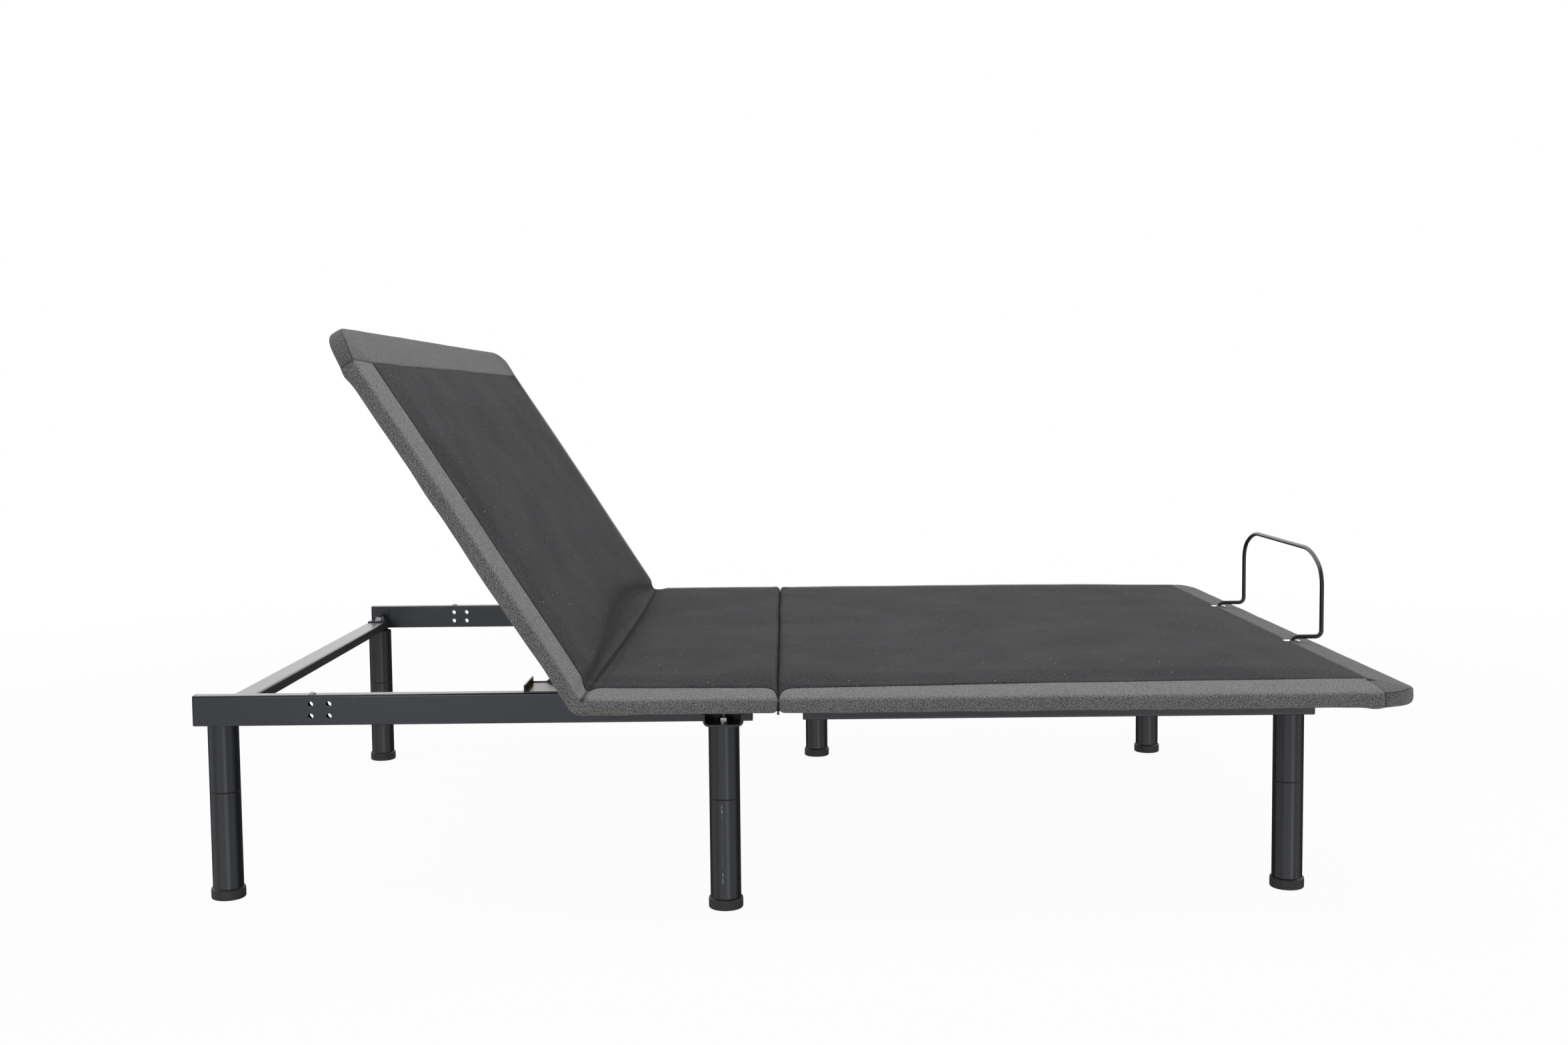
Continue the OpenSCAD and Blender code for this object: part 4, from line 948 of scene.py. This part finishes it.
def makeBand(name, half):
    stations = bandPath(half)
    plans = [bandPlan(half, station) for station in stations]
    runs = bandRuns(stations, plans)
    profiles = []
    for outer, inner in plans:
        width = hypot(outer[0] - inner[0], outer[1] - inner[1])
        profiles.append((width, bandProfile(width, boardLevel(half, *inner), boardLevel(half, *outer))))

    def shape(i, j):
        kind, amount, side = stations[i]
        outer, inner = plans[i]
        width, rows = profiles[i]
        inset, z, sideShare, gone = rows[j]
        wave, seed, waves = runs[i], half["seed"], band["waves"]
        seam = bell(inset - width - 0.0004, 0.0014) if inset > width - 0.006 else 0.0
        z += waves["edge"] * ripple(wave * 9, seed + 2) * (0.3 + sideShare)
        inset += waves["face"] * ripple(wave * 13, seed + 5, sideShare * 2) * sideShare
        if sideShare >= 1 and z < deck["mid"]:
            z += waves["hem"] * ripple(wave * 21, seed + 9)
        # grain marks the end band, which the grey cloth paints darker as painted shade
        spot = {"inset": inset, "z": z, "width": width, "side": sideShare, "seam": seam, "shade": 0.0,
                "grain": 1.0 if kind == "end" else 0.0}
        if kind != "end":
            atCorner(half, kind, amount, spot)
        if half["fold"] and kind == "side":
            atFold(amount - half["fold"], spot)
        along = outer[0]
        if kind == "side" and amount < gap["round"]:
            inward, drop = rollOver(amount, gap["round"])
            spot["z"] = deck["mid"] + (spot["z"] - deck["mid"]) * clamp(1 - drop / band["closed"], 0.02)
            spot["inset"] += drop * clamp(1 - spot["inset"] / width)
            spot["shade"] = max(spot["shade"], 0.7 * clamp((drop - 0.003) / 0.010))
            along = inward + waves["gap"] * ripple(j * 0.7, seed)
        share = spot["inset"] / width
        a = along if kind == "side" else outer[0] + (inner[0] - outer[0]) * share
        y = outer[1] + (inner[1] - outer[1]) * share
        x = half["gap"] + half["way"] * a + (gapWave(amount, y, spot["z"]) if kind == "side" else 0)
        masks = {mask: spot[mask] for mask in ("seam", "side", "grain", "shade")}
        return Vector((x, y, spot["z"])), (wave, gone), masks

    bm = meshFromGrid(len(stations), len(profiles[0][1]), shape)
    return closeAndPlace(name, bm, finishes["grey_cloth"], bool(half["fold"]))


footPad = makePad("footPadCloth", footHalf, 130, 150)
footBand = makeBand("footBandCloth", footHalf)
print("foot cover made")
headPad = makePad("headPadCloth", headHalf, 200, 150)
headBand = makeBand("headBandCloth", headHalf)
print("head and seat cover made")

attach(footPad, "frame")
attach(footBand, "frame")
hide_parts("foot_pad")
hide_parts("foot_border")
for piece in (headPad, headBand):
    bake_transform(piece)
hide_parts("head_pad", "seat_pad")
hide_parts("head_border", "seat_border")


# studio

studio = {
    "floorTone": (250, 250, 250),
    "floorSize": 14,
    "floorGlow": 0.96,
    "fade": (1.6, 4.5),          # distance over which the floor joins the backdrop
    "worldLight": 0.14,
    "dim": 0.08,                 # how bright the painted room above shows in gloss, in front
    "backdrop": 1.75,            # and behind
    "dimWorld": (-0.30, 0.35),   # where the one passes into the other, along Y
    "below": 2.4,                # the brightest of the painted reflection that gloss sees below the horizon, through the floor
    "belowSteep": (0.09, 0.17),  # how steeply down it grows to that, from belowLeast of it
    "belowLeast": 0.3,
    "horizon": 0.08,             # how steeply down the painted room above has gone from gloss
    "belowTurns": ((-180, 0.04), (-122, 0.04), (-104, 0.26), (-80, 0.34), (-52, 0.32), (-40, 0.48),
                   (4, 0.52), (12, 0.66), (20, 1.0), (28, 0.66), (42, 0.34), (66, 0.40), (88, 0.22),
                   (106, 0.04), (180, 0.04)),      # its share, by degrees to the right of the viewer: painted reflections of strips, the legs' highlights
}


def seenRays(w):  # rays of the camera, straight or through the clear rubber, and rays of gloss
    camera, glossy, through = (w.node("ShaderNodeLightPath", out=k) for k in (0, 3, 6))
    return w.most(camera, through), glossy * (1 - through)


def makeFloor():  # gloss looks through it, to the painted reflection in the world's lower half
    bm = bmesh.new()
    bmesh.ops.create_grid(bm, x_segments=1, y_segments=1, size=studio["floorSize"])
    mesh = bpy.data.meshes.new("floor")
    bm.to_mesh(mesh)
    bm.free()
    floor = bpy.data.objects.new("floor", mesh)
    bpy.context.collection.objects.link(floor)
    material, w, shader = newFinish("paleFloor", {"Base Color": sRgb(*studio["floorTone"]), "Roughness": 0.9})
    out = next(n for n in w.tree.nodes if n.type == "OUTPUT_MATERIAL")
    away = w.node("ShaderNodeVectorMath", {0: w.objectSpot()}, out=1, operation="LENGTH")
    glow = away.spread(*studio["fade"]) * (1 - studio["floorGlow"]) + studio["floorGlow"]
    camera, gloss = seenRays(w)
    white = w.node("ShaderNodeEmission", {"Color": (1, 1, 1, 1), "Strength": 1.0})
    mixed = w.node("ShaderNodeMixShader", {0: camera * glow, 1: Wire(w.tree, shader.outputs[0]), 2: white})
    clear = w.node("ShaderNodeBsdfTransparent")
    whole = w.node("ShaderNodeMixShader", {0: gloss, 1: mixed, 2: clear})
    w.tree.links.new(whole.socket, out.inputs["Surface"])
    mesh.materials.append(material)


def makeWorld():  # white to the camera, soft to the rest, and in gloss a painted reflection of a room with a bright back and floor
    world = bpy.data.worlds.new("studio")
    world.use_nodes = True
    bpy.context.scene.world = world
    w = Wire(world.node_tree)
    soft = next(n for n in world.node_tree.nodes if n.type == "BACKGROUND")
    camera, gloss = seenRays(w)
    x, y, z = w.apart(w.node("ShaderNodeTexCoord", out=0))
    above = y.spread(*studio["dimWorld"]) * (studio["backdrop"] - studio["dim"]) + studio["dim"]
    # painted reflections below the horizon: bright stripes by the direction's turn
    turn = w.maths("ARCTAN2", x, y * -1) / (2 * pi) + 0.5
    stops = [(degrees / 360 + 0.5, (share, share, share, 1)) for degrees, share in studio["belowTurns"]]
    below = w.node("ShaderNodeValToRGB", {"Fac": turn}, stops=stops) * studio["below"]
    least = studio["belowLeast"]
    below = below * ((z * -1).spread(*studio["belowSteep"]) * (1 - least) + least)
    down = (z * -1).spread(0.0, studio["horizon"])
    shown = camera + gloss * (above * (1 - down) + below * down)
    light = shown + (1 - w.most(camera, gloss)) * studio["worldLight"]
    soft.inputs[0].default_value = (1, 1, 1, 1)
    w.tree.links.new(light.socket, soft.inputs[1])


lamps = [
    {"name": "overhead", "place": (0.1, -0.2, 3.6), "aim": (0, 0, 0.3), "size": (3.4, 2.4), "power": 62},
    {"name": "front", "place": (-1.4, -4.4, 1.3), "aim": (0, 0, 0.3), "size": (0.9, 2.2), "power": 38},
    {"name": "left", "place": (-3.6, -1.2, 1.1), "aim": (-0.4, 0, 0.3), "size": (0.6, 2.0), "power": 16},
    {"name": "right", "place": (3.6, -1.5, 1.1), "aim": (0.0, -0.3, 0.3), "size": (1.5, 2.0), "power": 34},
]


def makeLamps():
    for lamp in lamps:
        data = bpy.data.lights.new(lamp["name"], "AREA")
        data.shape = "RECTANGLE"
        data.size, data.size_y = lamp["size"]
        data.energy = lamp["power"]
        lampObject = bpy.data.objects.new(lamp["name"], data)
        bpy.context.collection.objects.link(lampObject)
        lampObject.location = lamp["place"]
        aim = Vector(lamp["aim"]) - Vector(lamp["place"])
        lampObject.rotation_euler = aim.to_track_quat("-Z", "Y").to_euler()


makeFloor()
makeWorld()
makeLamps()
bpy.context.scene.view_settings.view_transform = "Standard"
print("studio set")

bpy.context.view_layer.update()
